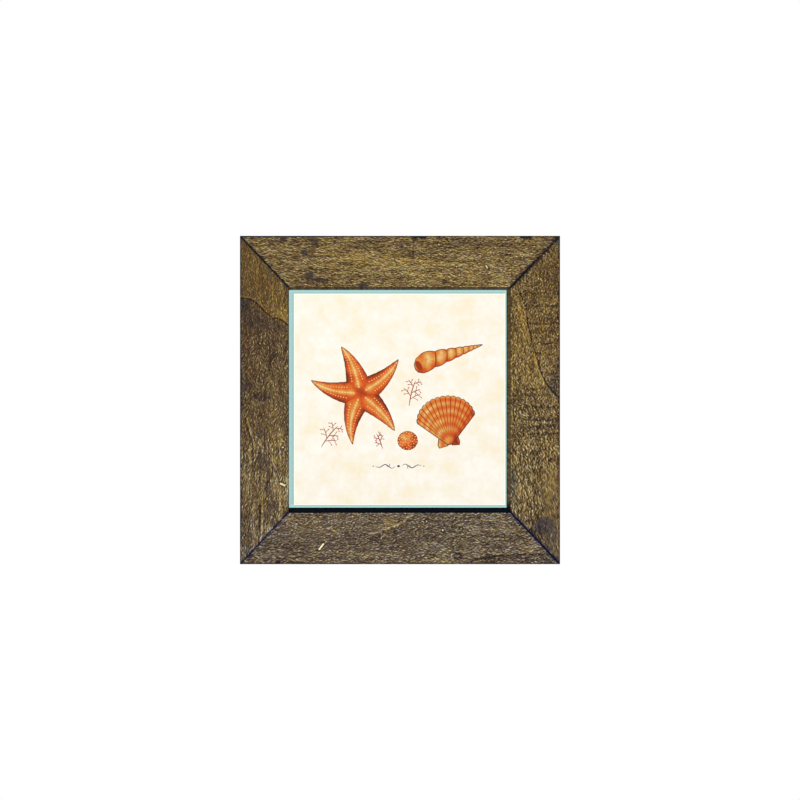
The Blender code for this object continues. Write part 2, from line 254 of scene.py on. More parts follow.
# Middle, half width across and up, how much darker (or paler, below 0), and how purple (or amber, below 0)
PATCHES = [
    ((-89, 137.4), (4.4, 3.4), 2.2, 1.5),
    ((-109.5, 149), (4, 3), 2.2, 1.2),
    ((-80, 149), (6, 2.8), 1.9, 1.2),
    ((-84.5, 115.5), (5, 4.6), 3, 1.9),
    ((-75.5, 112), (7.5, 2.4), 2.6, 1.8),
    ((-34.5, 107.2), (5.5, 2.6), 2.8, 1.9),
    ((-121, 121), (2, 7), 0.7, 0.6),
    ((42, 110.4), (4, 2.6), 2.2, 0.6),
    ((7, 145), (13, 6), 0.5, 0.2),
    ((60, 146), (20, 5), 0.3, 0.2),
    ((-24, 147), (22, 5), 0.3, 0.1),
    ((-143.5, 88), (6, 7), 1.6, 0),
    ((-141.3, 98.4), (5, 2.2), 1, 0.8),
    ((-125, 94.6), (3.2, 2.8), 0.9, 0.2),
    ((-138, 76), (9, 9), 1.2, 0.5),
    ((-122, 70), (16, 8), 0.9, 0.3),
    ((-116.8, 42.6), (4, 5), 1.4, 0.6),
    ((-142.6, 13.4), (6.5, 6), 1.7, 0.7),
    ((-129.6, 2.6), (11, 5), 1.7, 0.7),
    ((-128, -31.6), (6, 7), 1, 0.4),
    ((-129, -57), (7, 11), 1.7, 0.5),
    ((-124, -81), (5, 6), 1.1, 0.5),
    ((-118, -99), (6, 6), 0.8, 0.5),
    ((-122, -112), (8, 9), 0.5, 0.1),
    ((-143, -58), (5, 6), 0.7, 0.3),
    ((53.6, -145.5), (2.4, 1.8), 0.6, 0.2),
    ((25.1, -126.6), (3.4, 2), 1.3, 0.6),
    ((-50, -127.6), (5.5, 2.6), 0.7, 0.3),
    ((136, -117), (10, 9.5), 1.8, 1.3),
    ((128, -119), (7, 8), 1, 0.9),
    ((141, -129), (6.5, 7), 0.9, 0.7),
    ((107, -78), (4, 12), 0.9, 0.6),
    ((143, 12), (7, 10), 1, 1.1),
    ((142.5, 22.5), (6, 3.5), 0.6, 0.9),
    ((107.6, 66.7), (3.6, 6), 0.8, 0.2),
    ((134, -24.6), (15, 9), 0.2, 0.35),
    ((136, -6.8), (13, 3.4), 0.2, 0.35),
    ((120.4, 86.5), (3, 6), 0.8, 0.3),
    ((6, 128), (52, 7), -0.4, -0.4),
    ((46, 114), (34, 8), -0.3, -0.3),
    ((-48, 131), (24, 9), -0.4, -0.3),
    ((-37, 133.4), (10, 6), -0.8, -0.6),
    ((-10.7, 133.3), (8, 4), -0.6, -0.5),
    ((-59.7, 136.3), (4, 2.5), -0.9, -0.5),
    ((-71.3, 141.5), (6, 2), -0.7, -0.4),
    ((-43.4, 118.8), (7, 2.5), -0.9, -0.5),
    ((-81.8, 126.4), (5, 2.2), -0.8, -0.4),
    ((23.3, 128.1), (9, 3.5), -0.8, -0.8),
    ((7, 131.6), (7, 2.5), -0.7, -0.6),
    ((11.7, 115.9), (10, 5), -0.5, -0.4),
    ((81.6, 137.4), (9, 2), -0.6, -0.3),
    ((70, 113.5), (8, 3), -0.6, -0.3),
    ((90.9, 111.2), (6, 3), -0.6, -0.3),
    ((-110.5, 79), (7, 8), -1.9, -0.8),
    ((-108.2, 18.9), (1.8, 1.4), -2.2, -1.2),
    ((-105.4, 30.5), (1.2, 2.2), -1.6, -1.4),
    ((-114.7, -56), (6, 5), -0.8, -0.5),
    ((-118.5, -9.3), (2.5, 6), -0.7, -1),
    ((-115.6, -39.6), (4, 8), -0.5, -0.7),
    ((115.2, 76), (4, 14), -0.9, -0.7),
    ((125.7, 36.4), (3.5, 8), -1, -0.6),
    ((117.5, 27), (4, 8), -0.5, -0.4),
    ((125.7, 28.2), (1.6, 2), -1.3, 0),
    ((138, -72), (9, 26), -0.4, -0.5),
    ((-96, -114), (20, 8), -0.3, -0.2),
    ((-78.3, -112.8), (5, 3.2), -0.8, -0.9),
    ((-60.8, -122.9), (2.4, 2), -1.4, -1.5),
    ((-9.7, -113.8), (7, 4.4), -0.9, -1.6),
    ((-14, -119.6), (3.4, 1.6), -0.6, -1.5),
    ((56, -129.3), (2.4, 1.6), -0.9, -1.2),
    ((121.2, -140.3), (5, 2.4), -0.6, -1),
    ((-134.3, -128.1), (1.6, 1.2), -1.4, -1.8),
    ((-133.7, -115.3), (1.4, 1.2), -1.4, -1.6),
]
# Broad differences in how dark each rail is: middle, half width across and up, and how much darker
BROAD_PATCHES = {
    "top": [
        ((89.1, 111.4), (40, 12), -0.8), ((17.3, 128.2), (26, 8), -1), ((36.8, 137.5), (26, 8), 0.8),
        ((107.7, 135.7), (16, 16), 0.7), ((-35.9, 118.9), (16, 16), -0.6), ((-85.3, 119.8), (40, 12), 0.4),
        ((-79.7, 149.7), (26, 8), 0.8), ((-75.1, 134.7), (7, 7), -1.2), ((-22.8, 137.5), (14, 6), 0.8),
        ((47.1, 116.1), (11, 11), 0.6), ((-10.7, 106.8), (8, 4), 1.3), ((70.4, 120.8), (11, 11), -0.6),
    ],
    "bottom": [
        ((108.6, -139.4), (26, 8), -1), ((39.6, -144.1), (12, 40), -0.7), ((-41.5, -118.9), (26, 8), -0.7),
        ((4.2, -120.8), (26, 8), 0.7), ((63.9, -110.5), (26, 8), -0.7), ((73.2, -140.3), (7, 7), -1.3),
        ((-10.7, -108.6), (14, 6), -1.1), ((-38.7, -142.2), (14, 6), -0.8), ((35.9, -148.7), (40, 12), -0.4),
        ((-21, -131), (14, 6), 0.8), ((89.1, -149.7), (14, 6), 1), ((101.2, -118.9), (14, 6), -0.7),
        ((95.6, -128.2), (14, 6), 0.7),
    ],
    "left": [
        ((-116.1, -2.3), (12, 40), -0.8), ((-107.7, -83.5), (16, 16), -1.3), ((-131.9, 54.6), (6, 14), 1),
        ((-142.2, -24.7), (40, 12), -0.6), ((-114.2, 59.2), (8, 26), -0.6), ((-140.3, -94.6), (8, 26), -0.6),
        ((-132.9, -51.8), (16, 16), 0.5), ((-145, 0.5), (11, 11), 0.8),
    ],
    "right": [
        ((128.2, -56.4), (16, 16), 1.1), ((117, 0.5), (16, 16), 0.9), ((130.1, -124.5), (12, 40), 0.8),
        ((145, -77.9), (8, 26), -0.9), ((127.3, 105.8), (16, 16), 0.6), ((138.5, -2.3), (6, 14), -0.9),
        ((116.1, -76), (8, 26), -0.5), ((133.8, -64.8), (6, 14), 0.8), ((123.6, -17.3), (16, 16), 0.4),
        ((111.4, 15.4), (7, 7), 1),
    ],
}
# Stains of dark slate blue: middle, half width across and up, and how strong
SLATE_STAINS = [
    ((-144.5, 89.5), (4.4, 4.4), 0.55),
    ((131.5, -80.2), (1.2, 1.9), 0.85),
    ((123, -50.7), (2, 1.2), 0.6),
    ((109.3, -92.9), (1.6, 1.4), 0.85),
    ((105, -78), (2.6, 24), 0.35),
    ((25.1, -126.9), (3, 1.6), 0.5),
    ((37.3, -131.2), (2.4, 1.8), 0.4),
    ((139.3, -138.6), (3.6, 3.2), 0.65),
    ((141, -148.7), (10, 5), 0.3),
    ((114.2, -112.8), (2.4, 2), 0.6),
    ((-142.7, -139.9), (4.4, 9), 0.35),
    ((-121.2, -131.5), (8, 3.6), 0.2),
    ((-138.9, 148.5), (3, 3), 0.3),
    ((147.6, 147.6), (2.8, 6), 0.7),
]
# Where each pale chip starts and ends, its half width and how white it is
CHIPS = [
    ((-75.3, -139.2), (-71.5, -134.4), 0.62, 1),
    ((-111.4, -78), (-107.6, -79.6), 0.58, 1),
    ((-109.7, -44.1), (-108.9, -44.3), 0.42, 0.8),
    ((24.7, -113), (24.9, -113.1), 0.38, 0.8),
    ((39.7, -121.4), (39.9, -121.6), 0.55, 0.95),
    ((57, -119.8), (57.2, -119.9), 0.3, 0.7),
    ((50.5, -110.1), (50.7, -110.2), 0.3, 0.7),
    ((80.2, 125.4), (81.4, 123.2), 0.34, 0.75),
    ((52.8, 124.6), (52.9, 124), 0.3, 0.6),
    ((36.1, 145), (36.3, 144.8), 0.4, 0.65),
    ((21.6, 107.6), (23, 107.2), 0.26, 0.5),
    ((-145.5, -125.6), (-145.3, -126.4), 0.22, 0.5),
]
# Dark nicks in the outer edges of the top and bottom rails: where each starts and ends across the frame
OUTER_NICKS = [("top", 13, 24), ("top", 112.5, 122.5), ("bottom", -115.6, -112.8)]

# Spacing of the grain's strokes in mm, along the rail and across it
STROKE_PITCH = (2.4, 1.17)
# How each rail differs: its golden tone, its strokes' half length and width in mm, how far they swing, spread
# and curl, how much long streaks, soft and broad patches and bands add, and how strong and peaked it all is.
# Then how much darker it is near its outer edge and on the arris, and how black its outline is
RAIL_LOOKS = {
    "top": {"seed": 100, "tone": 0.95, "size": (1.28, 0.50), "swing": 0.34, "spread": 0.18, "curl": 0.36,
            "streak": 0.19, "soft": 0, "broad": 0.25, "bands": 0.20, "contrast": 4.1, "peaks": 0.06,
            "fade": 0.5, "arris": 2.6, "outline": 0.45},
    "bottom": {"seed": 200, "tone": 0, "size": (0.96, 0.60), "swing": 0.74, "spread": 0.56, "curl": 0.12,
               "streak": 0.04, "soft": 0.05, "broad": 0.20, "bands": 0.10, "contrast": 3.5, "peaks": 0.25,
               "fade": 1.5, "arris": 0.9, "outline": 0.3},
    "left": {"seed": 300, "tone": 0.60, "size": (1.18, 0.55), "swing": 1, "spread": 0.07, "curl": 0.26,
             "streak": 0.20, "soft": 0, "broad": 0.25, "bands": 0.22, "contrast": 3.8, "peaks": 0.40,
             "fade": 1.5, "arris": 0.9, "outline": 0.3},
    "right": {"seed": 400, "tone": 0.90, "size": (0.80, 0.70), "swing": 1.23, "spread": 0.70, "curl": 0.70,
              "streak": 0.05, "soft": 0.18, "broad": 0.25, "bands": 0.05, "contrast": 4.3, "peaks": 0.15,
              "fade": 1.5, "arris": 0.9, "outline": 0.3},
}
# Each rebate wall's painted shade: how dark and purple, and where it turns black, from and to, up from the
# middle
REBATE_SHADE = {"top": (0, 1.4, None), "bottom": (0.35, 0.2, (0, -1)),
                "left": (0.35, 0.2, (-99.5, -101)), "right": (0.35, 0.2, (-92, -101))}
# Where up the side rails their stain turns more golden (or greyer, below 0): from, to, and by how much
TONE_SHIFTS = {"left": [(-60, -20, 0.15), (-102, -116, -0.35)],
               "right": [(20, 60, 0.5), (-40, -60, -0.15), (-108, -124, -0.25)]}
# The tone of the golden wood beside the arcs, and how much of it each side rail takes on
GOLDEN_TONE = 1.9
GOLDEN_TAKE = {"left": 1.0, "right": 0.45}
# How far the dark of each mitre joint spreads on either side of it in mm, and how blue it is
MITRE_LINE = {("top", "left"): 0.66, ("top", "right"): 1.35,
              ("bottom", "left"): 0.55, ("bottom", "right"): 0.92}
MITRE_BLUE = {("top", "left"): 0.05, ("top", "right"): 0.05,
              ("bottom", "left"): 0.6, ("bottom", "right"): 0.75}
# Dark ripples across the right rail: how far up each lies, and how strong
RIPPLES = [(99.4, 1.2), (87.7, 1.1), (76, 0.9), (70.9, 0.9), (64.3, 1.1), (43, 1), (32.2, 0.9), (25, 1.3),
           (18.4, 1.1), (11, 0.7), (4.6, 0.9)]
RIPPLE_WIDTH = 1.0
# The half width in mm of the dark line along each arc, and how strong it is
ARC_LINE = (0.6, 4.2)
# A line has faded to nothing this many half widths off
LINE_REACH = 6
# From what share of its oval a patch shows, and from what share it is full. A slate stain's edge is softer
PATCH_EDGE = (0.25, 0.75)
SLATE_EDGE = (0.25, 0.8)
# A chip's dark rim of painted shadow: how far outside the chip and how wide in mm, and how dark it is
CHIP_SHADE_OUT = 0.9
CHIP_SHADE_WIDTH = 0.6
CHIP_SHADE_DARK = 3.2
# How much a patch darkens the grain, and how golden an amber patch or a pale line makes it
PATCH_DARKENS = 0.75
AMBER_GOLD = 0.6
LINE_GOLD = 0.5
# Relief in mm: eased arrises, hollows in dark lines and chips, pits in dark grain, and a slow wave
EDGE_EASE = 0.32
INNER_EASE = 0.28
BACK_EASE = 0.5
LINE_DENT = 0.16
CHIP_DENT = 0.10
PIT_DEPTH = 0.05
WAVE_DEPTH = 0.10


def mesh_object(name, vertices, faces):
    mesh = bpy.data.meshes.new(name)
    mesh.from_pydata(vertices, [], faces)
    obj = bpy.data.objects.new(name, mesh)
    bpy.context.scene.collection.objects.link(obj)
    return obj


def applied(obj):
    """The object with its modifiers' result as its own mesh."""
    bpy.context.view_layer.update()
    graph = bpy.context.evaluated_depsgraph_get()
    mesh = bpy.data.meshes.new_from_object(obj.evaluated_get(graph))
    obj.modifiers.clear()
    obj.data = mesh
    return obj


def coordinates(mesh):
    found = np.empty(len(mesh.vertices) * 3, np.float32)
    mesh.vertices.foreach_get("co", found)
    return found.reshape(-1, 3).astype(float)


def write_coordinates(mesh, places):
    mesh.vertices.foreach_set("co", places.astype(np.float32).ravel())
    mesh.update()


def keep_values(mesh, name, values):
    layer = mesh.attributes.new(name, "FLOAT", "POINT")
    layer.data.foreach_set("value", values.astype(np.float32))


def spread(start, end, step, fine=()):
    """Places from start to end, at most a step apart, with finer ones near both ends."""
    near = [start + math.copysign(x, end - start) for x in fine]
    far = [end - math.copysign(x, end - start) for x in reversed(fine)]
    if not fine:
        near, far = [start], [end]
    count = max(1, math.ceil(abs(far[0] - near[-1]) / step))
    return near + list(np.linspace(near[-1], far[0], count + 1)[1:-1]) + far


def moulding_profile(face):
    """The L section as a closed ring of points: inward from the outer side, and back from the front."""
    tip = face * (1 + LEDGE_SHARE)
    ring = [(0.0, s) for s in spread(DEPTH, 0.0, SIDE_STEP, NEAR_AN_EDGE)]
    ring += [(d, 0.0) for d in spread(0.0, face, FACE_STEP, NEAR_AN_EDGE)[1:]]
    ring += [(face, s) for s in spread(0.0, REBATE, SIDE_STEP, NEAR_AN_EDGE[:4])[1:]]
    ring += [(d, REBATE) for d in spread(face, tip, BACK_STEP)[1:]]
    ring += [(tip, s) for s in spread(REBATE, DEPTH, BACK_STEP)[1:]]
    ring += [(d, DEPTH) for d in spread(tip, 0.0, BACK_STEP)[1:-1]]
    return np.array(ring)


def mitre_slopes(side):
    return [FACE[end] / FACE[side] for end in RAILS[side]["ends"]]


def rail_ends(side):
    return (LEFT, RIGHT) if side in ("top", "bottom") else (BOTTOM, TOP)


def in_rail(side, places):
    """Each place's distance along its rail, in from the outer side, and back from the front."""
    rail = RAILS[side]
    return (places[:, rail["along"]], (places[:, rail["across"]] - rail["outer"]) * rail["inward"],
            places[:, 1] - FRONT)


def from_rail(side, along, inward, back):
    rail = RAILS[side]
    places = np.empty((len(along), 3))
    places[:, rail["along"]] = along
    places[:, rail["across"]] = rail["outer"] + inward * rail["inward"]
    places[:, 1] = FRONT + back
    return places


def rail_mesh(side):
    """The moulding's section swept from mitre to mitre."""
    ring = moulding_profile(FACE[side])
    (low, high), (slope_low, slope_high) = rail_ends(side), mitre_slopes(side)
    starts = low + ring[:, 0] * slope_low
    ends = high - ring[:, 0] * slope_high
    near_low = [x * math.hypot(1, slope_low) for x in NEAR_AN_EDGE]
    near_high = [x * math.hypot(1, slope_high) for x in reversed(NEAR_AN_EDGE)]
    count = math.ceil((high - low) / ALONG_STEP)
    share = np.linspace(0, 1, count + 1)[1:-1]
    columns = [starts + x for x in near_low]
    first, last = starts + near_low[-1], ends - near_high[0]
    columns += [first + (last - first) * t for t in share]
    columns += [ends - x for x in near_high]
    points, columns = len(ring), np.array(columns)
    stations = len(columns)
    places = from_rail(side, columns.ravel(), np.tile(ring[:, 0], stations), np.tile(ring[:, 1], stations))
    index = np.arange(points * stations).reshape(stations, points)
    here, ahead = index[:-1], index[1:]
    after = np.roll(np.arange(points), -1)
    quads = np.stack([here, here[:, after], ahead[:, after], ahead], -1).reshape(-1, 4)
    faces = quads.tolist() + [index[0].tolist(), index[-1].tolist()]
    return places.tolist(), faces


def face_outward(mesh):
    work = bmesh.new()
    work.from_mesh(mesh)
    bmesh.ops.recalc_face_normals(work, faces=work.faces)
    work.to_mesh(mesh)
    work.free()


def pocket_for(fastener):
    """A cutter a little larger all round than a nail or pin, made from its solid."""
    cutter = fastener.copy()
    cutter.data = fastener.data.copy()
    cutter.parent = None
    work = bmesh.new()
    work.from_mesh(cutter.data)
    bmesh.ops.remove_doubles(work, verts=work.verts, dist=TINY)
    work.to_mesh(cutter.data)
    work.free()
    bpy.context.scene.collection.objects.link(cutter)
    grow = cutter.modifiers.new("grow", "DISPLACE")
    grow.direction = "NORMAL"
    grow.mid_level = 0.0
    grow.strength = POCKET_SPARE
    return applied(cutter)


def cut_pockets(obj, fasteners):
    cutters = [pocket_for(f) for f in fasteners]
    for cutter in cutters:
        cut = obj.modifiers.new("pocket", "BOOLEAN")
        cut.operation = "DIFFERENCE"
        cut.object = cutter
    applied(obj)
    for cutter in cutters:
        bpy.data.objects.remove(cutter)


def rounded(a, b, radius):
    """Brings places within a corner, a and b from its two faces, onto an arc between them."""
    inside = (a < radius) & (b < radius)
    away = np.hypot(radius - a, radius - b)
    scale = np.where(inside, radius / np.maximum(away, 1e-9), 1)
    return radius - (radius - a) * scale, radius - (radius - b) * scale


def strokes(u, v, seed, size, turn, spread, curl):
    """The sum of short curved strokes along turn, an angle from u, each pale or dark between shaded sides."""
    length, width = size
    i, j = np.floor(u / STROKE_PITCH[0]).astype(np.int64), np.floor(v / STROKE_PITCH[1]).astype(np.int64)
    total = np.zeros(u.shape)
    for a in (i - 1, i, i + 1):
        for b in (j - 2, j - 1, j, j + 1, j + 2):
            x = u - (a + hashed(a, b, seed)) * STROKE_PITCH[0]
            y = v - (b + hashed(a, b, seed + 1)) * STROKE_PITCH[1]
            angle = turn + spread * (2 * hashed(a, b, seed + 2) - 1)
            along, across = x * np.cos(angle) + y * np.sin(angle), y * np.cos(angle) - x * np.sin(angle)
            bow = curl * (2 * hashed(a, b, seed + 3) - 1)
            across = across + bow * (along * along / length - 0.3 * length)
            amount = 0.4 + 0.9 * hashed(a, b, seed + 5)
            amount = np.where(hashed(a, b, seed + 4) < 0.5, amount, -amount)
            squared = (across / width) ** 2
            total = total + amount * np.exp(-(along / length) ** 2 - squared) * (1 - 1.3 * squared)
    return total


def worn_grain(u, v, look, straight):
    """The stained grain's lights and darks, about -5 to 5. u runs along the rail and v across it, in mm."""
    seed, (length, width), drawn = look["seed"], look["size"], np.maximum(straight, 0)
    bent = v + noise(u / 13, v / 8, seed) + 0.45 * noise(u / 3.2, v / 2.6, seed + 1)
    swing = 0.75 * noise(u / 11, v / 9, seed + 2) + 0.5 * noise(u / 5, v / 4.5, seed + 3)
    turn = look["swing"] * (1 - straight) * swing
    streak = noise(u / 45, bent / 2.4, seed + 7) + 0.6 * noise(u / 90, bent / 1.3, seed + 8)
    seam = thread(u / 70, (v + 1.5 * noise(u / 40, v / 20, seed + 9)) / 9, seed + 10, 14)
    seam = seam * smooth(0, 0.3, noise(u / 18, v / 9, seed + 11))
    grain = strokes(u, v, seed + 20, (length * (1 + 0.9 * drawn), width), turn, look["spread"], look["curl"])
    grain = grain + 0.72 * (1 - 0.45 * drawn) * noise(u / 1.4, bent / 0.9, seed + 6) - 0.6 * seam
    grain = grain + (look["streak"] + 0.22 * drawn) * streak
    grain = grain + look["soft"] * noise(u / 8, bent / 2.6, seed + 12)
    grain = grain + look["broad"] * noise(u / 30, v / 12, seed + 13)
    grain = look["contrast"] * (grain + look["bands"] * noise(u / 50, bent / 5.5, seed + 14))
    return grain + look["peaks"] * (grain * grain / 6 - 0.6)


def golden_share(side, x, z):
    """Where the stain lies golden, on one side of the arcs in the left and right rails."""
    if side == "left":
        xs, zs = zip(*[p for arc in STAIN_ARCS[side] for p in arc])
        return smooth(-0.3, 0.5, z - np.interp(x, xs, zs))
    if side == "right":
        xs, zs = zip(*reversed(STAIN_ARCS[side][0]))
        return smooth(-0.4, 0.4, np.interp(z, zs, xs) - x) * smooth(0, 14, z)
    return np.zeros(x.shape)


def straightness(side, x, z, golden):
    """How straight the grain runs: 0 as the rail's look has it, 1 quite straight, and wilder below 0."""
    if side == "right":
        return np.maximum(0.6 * golden, 0.9 * smooth(-36, -50, z))
    if side == "left":
        return -0.5 * smooth(-40, 0, z)
    if side == "bottom":
        return 0.3 * np.maximum(smooth(20, 70, x), smooth(-126, -140, z))
    return np.zeros(x.shape)


def corner_of(side, end):
    """The key of the mitre at one end of a rail, named from the top or bottom rail that it joins."""
    return (side, end) if side in ("top", "bottom") else (end, side)


def rail_places(side, mesh):
    """Where each vertex of a rail lies: along, inward and back in metres, and the rest in mm. u runs along
    the rail and v across it, unfolded round its arrises; x and z run from the frame's middle."""
    places, face, look = coordinates(mesh), FACE[side], RAIL_LOOKS[side]
    along, inward, back = in_rail(side, places)
    (low, high), slopes = rail_ends(side), mitre_slopes(side)
    from_ends = [(distance - inward * slope) / math.hypot(1, slope) / MM
                 for distance, slope in zip((along - low, high - along), slopes)]
    at_back, behind = back > DEPTH - TINY, inward > face - TINY
    raw = at_back | (behind & (back > REBATE + TINY)) | (inward > face * (1 + LEDGE_SHARE) - TINY)
    in_rebate = behind & (back > TINY) & ~raw
    unfolded = np.where(inward < face / 2, inward - back, inward + back)
    u, v = along / MM, np.where(at_back, -DEPTH - inward, unfolded) / MM
    return SimpleNamespace(
        side=side, look=look, seed=look["seed"], face=face, along=along, inward=inward, back=back, u=u, v=v,
        x=places[:, 0] / MM, z=(places[:, 2] - MIDDLE_Z) / MM,
        at_back=at_back, raw=raw, in_rebate=in_rebate, on_face=(back < TINY) & ~in_rebate,
        front=smooth(6, 1, back / MM) * ~in_rebate,
        ragged=0.35 * noise(u / 3.1, v / 3.1, look["seed"] + 36),
        mitres=[(far, corner_of(side, end)) for far, end in zip(from_ends, RAILS[side]["ends"])])


def left_grain(at, worn, golden):
    """The left rail's grain: quieter about the arcs and in the dark wood below them, which is also darker."""
    about_arcs = golden + smooth(30, 10, abs(at.z - 78)) * (1 - golden)
    upper = smooth(-45, -20, at.z)
    calm = np.maximum(0.35 * about_arcs, 0.22 * upper)
    return worn * (1 - calm) - 0.2 * golden - (1.2 * upper - 0.05) * (1 - golden)


def right_grain(at, worn, golden):
    """The right rail's grain: paler within its arc, quieter low and outward, and crossed by dark ripples."""
    x, z = at.x, at.z
    upper, lower = smooth(-4, 10, z) * (1 - golden), smooth(-48, -66, z)
    worn = worn * (1 - 0.22 * golden - 0.16 * upper - 0.12 * lower)
    worn = worn + 0.55 * golden - 0.15 * upper + 0.15 * lower
    worn = worn * (1 - 0.42 * smooth(-56, -70, z) * smooth(127, 138, x))
    bent = z + 0.6 * noise(x / 16, z / 20, at.seed + 31)
    wave = sum(strong * np.exp(-((bent - up) / RIPPLE_WIDTH) ** 2) for up, strong in RIPPLES)
    broken = 1 + 0.8 * noise(x / 9, z / 5, at.seed + 32)
    return worn - wave * (1 - 0.8 * golden) * broken * at.front


def laid_stain(at):
    """The stain before its marks: how pale the grain is, and how golden and purple."""
    golden = golden_share(at.side, at.x, at.z) * at.front
    worn = worn_grain(at.u, at.v, at.look, straightness(at.side, at.x, at.z, golden))
    worn = np.where(at.raw, 0, worn)
    if at.side == "left":
        worn = left_grain(at, worn, golden)
    if at.side == "right":
        worn = right_grain(at, worn, golden)
    tone = at.look["tone"]
    for start, full, shift in TONE_SHIFTS.get(at.side, []):
        tone = tone + shift * smooth(start, full, at.z)
    tone = tone + (GOLDEN_TONE - tone) * golden * GOLDEN_TAKE.get(at.side, 0)
    purple = 0.25 * np.maximum(noise(at.u / 17, at.v / 7, at.seed + 30), 0)
    none = np.zeros(at.x.shape)
    return SimpleNamespace(worn=worn, tone=tone, purple=purple,
                           slate=none, chip=none, black_and_painted_shade=none, navy=none, dents=none)


def blot(at, middle, reach):
    """An oval stain, 1 at its middle and falling off past its reach."""
    return np.exp(-((at.x - middle[0]) / reach[0]) ** 2 - ((at.z - middle[1]) / reach[1]) ** 2)


def add_patches(at, stain):
    """The broad lights and darks, and the ragged patches and slate stains over them."""
    for middle, reach, darker in BROAD_PATCHES[at.side]:
        patch = smooth(*PATCH_EDGE, blot(at, middle, reach)) * at.front
        stain.worn = stain.worn - PATCH_DARKENS * darker * patch
    ragged = 0.22 * noise(at.x / 3, at.z / 3, at.seed + 33)
    for middle, reach, darker, violet in PATCHES:
        patch = smooth(*PATCH_EDGE, blot(at, middle, reach) + ragged) * at.front
        stain.worn = stain.worn * (1 - 0.2 * max(darker, 0) * patch) - PATCH_DARKENS * darker * patch
        stain.purple = stain.purple + violet * patch
        stain.tone = stain.tone - AMBER_GOLD * min(violet, 0) * patch
    ragged = 0.2 * noise(at.x / 2.6, at.z / 2.6, at.seed + 43)
    for middle, reach, strong in SLATE_STAINS:
        patch = smooth(*SLATE_EDGE, blot(at, middle, reach) + ragged) * at.front
        stain.slate = np.maximum(stain.slate, strong * patch)


def grain_line(at, points, width, usual, number):
    """How strong a line is at each place. It comes and goes along its length about its usual strength."""
    margin = LINE_REACH * width
    (x_low, z_low), (x_high, z_high) = np.min(points, 0) - margin, np.max(points, 0) + margin
    near = np.flatnonzero((at.x > x_low) & (at.x < x_high) & (at.z > z_low) & (at.z < z_high))
    off, share = beside_line(at.x[near], at.z[near], points)
    line = np.zeros(at.x.shape)
    line[near] = np.exp(-(off / width) ** 2) * (usual + 0.4 * noise(share * 9, share, at.seed + number))
    return line * at.front


def add_lines(at, stain):
    """The pale and dark lines of the grain, and the dark lines along the arcs."""
    for points, width, strength in PALE_LINES:
        line = grain_line(at, points, width, 0.8, 34)
        stain.worn = stain.worn + strength * line
        stain.tone = stain.tone + LINE_GOLD * line
    arcs = [(arc, *ARC_LINE) for arc in STAIN_ARCS.get(at.side, [])]
    for points, width, strength in DARK_LINES + arcs:
        line = grain_line(at, points, width, 0.85, 35)
        stain.worn = stain.worn - strength * line
        stain.dents = stain.dents + LINE_DENT * line


def add_chips(at, stain):
    """Pale chips, each with a dark rim of painted shadow."""
    for start, end, width, white in CHIPS:
        off, _ = beside_line(at.x, at.z, [start, end])
        stain.chip = np.maximum(stain.chip, white * smooth(width + 0.3, width - 0.15, off) * at.front)
        # The dark rim round each chip is painted shadow of its sunken edge
        rim = np.exp(-((off - width - CHIP_SHADE_OUT) / CHIP_SHADE_WIDTH) ** 2)
        stain.worn = stain.worn - CHIP_SHADE_DARK * white * rim * at.front


def darken_outer_edge(at, stain):
    """Stain darker toward the outer arris, a thin black outline with nicks, and black painted shadow along
    the bottom's inner arris.
    """
    edge = np.hypot(at.inward, 1.8 * at.back) / MM
    rough_edge = edge + at.ragged
    nick = np.zeros(at.x.shape)
    for where, start, end in OUTER_NICKS:
        if where == at.side:
            after, before = smooth(start - 1.5, start + 0.5, at.u), smooth(end + 1.5, end - 0.5, at.u)
            nick = np.maximum(nick, after * before)
    blacker_outline = smooth(-55, -80, at.x) if at.side == "top" else 0
    outline = (at.look["outline"] + 0.47 * blacker_outline) * smooth(0.7, 0.2, rough_edge - 0.2 - 0.75 * blacker_outline)
    stain.black_and_painted_shade = outline + 0.97 * nick * smooth(2.5, 1.8, rough_edge)
    stain.worn = stain.worn - 2 * nick * smooth(6.5, 2, edge) - at.look["arris"] * smooth(1, 0.5, edge)
    stain.worn = stain.worn - at.look["fade"] * smooth(2.2, 0.5, rough_edge)
    if at.side == "bottom":
        arris = (at.face - at.inward) / MM + 0.3 * at.ragged
        stain.worn = stain.worn + 0.9 * smooth(1.7, 0.9, arris) * at.on_face
        # Painted shadow: the bottom rail's inner arris turns black, like the gap under the panel
        stain.black_and_painted_shade = np.maximum(stain.black_and_painted_shade, smooth(0.75, 0.45, arris) * ~at.raw)


def darken_mitres(at, stain):
    """The joints' dark lines, blue at the lower corners, with a purple stain beside them."""
    for far, corner in at.mitres:
        width = MITRE_LINE[corner] * np.where(at.raw, 0.3, 1)
        black = 0.45 + 0.45 * smooth(0.3, 0.65, at.inward / at.face) if corner == ("top", "right") else 1
        stain.black_and_painted_shade = np.maximum(stain.black_and_painted_shade, black * smooth(width * 1.25, width * 0.7, far + 0.4 * at.ragged))
        stain.navy = np.maximum(stain.navy, smooth(width * 3, width, far) * MITRE_BLUE[corner])
        stain.worn = stain.worn - 1.2 * smooth(width * 3.2, width, far + at.ragged)
        stain.purple = stain.purple + 0.6 * smooth(5, 0.5, far + 2 * at.ragged)


def paint_rebate_shade(at, stain):
    """The rebate's wall, painted as a thin band of shade: purplish at the top, and black below as painted
    shadow.
    """
    dark, purple, turns_black = REBATE_SHADE[at.side]
    black = smooth(*turns_black, at.z) if turns_black else 0
    stain.worn = np.where(at.in_rebate, 0.35 * stain.worn - dark, stain.worn)
    stain.black_and_painted_shade = np.where(at.in_rebate, black, stain.black_and_painted_shade)
    stain.navy = np.where(at.in_rebate, 0, stain.navy)
    stain.purple = np.where(at.in_rebate, purple, stain.purple)


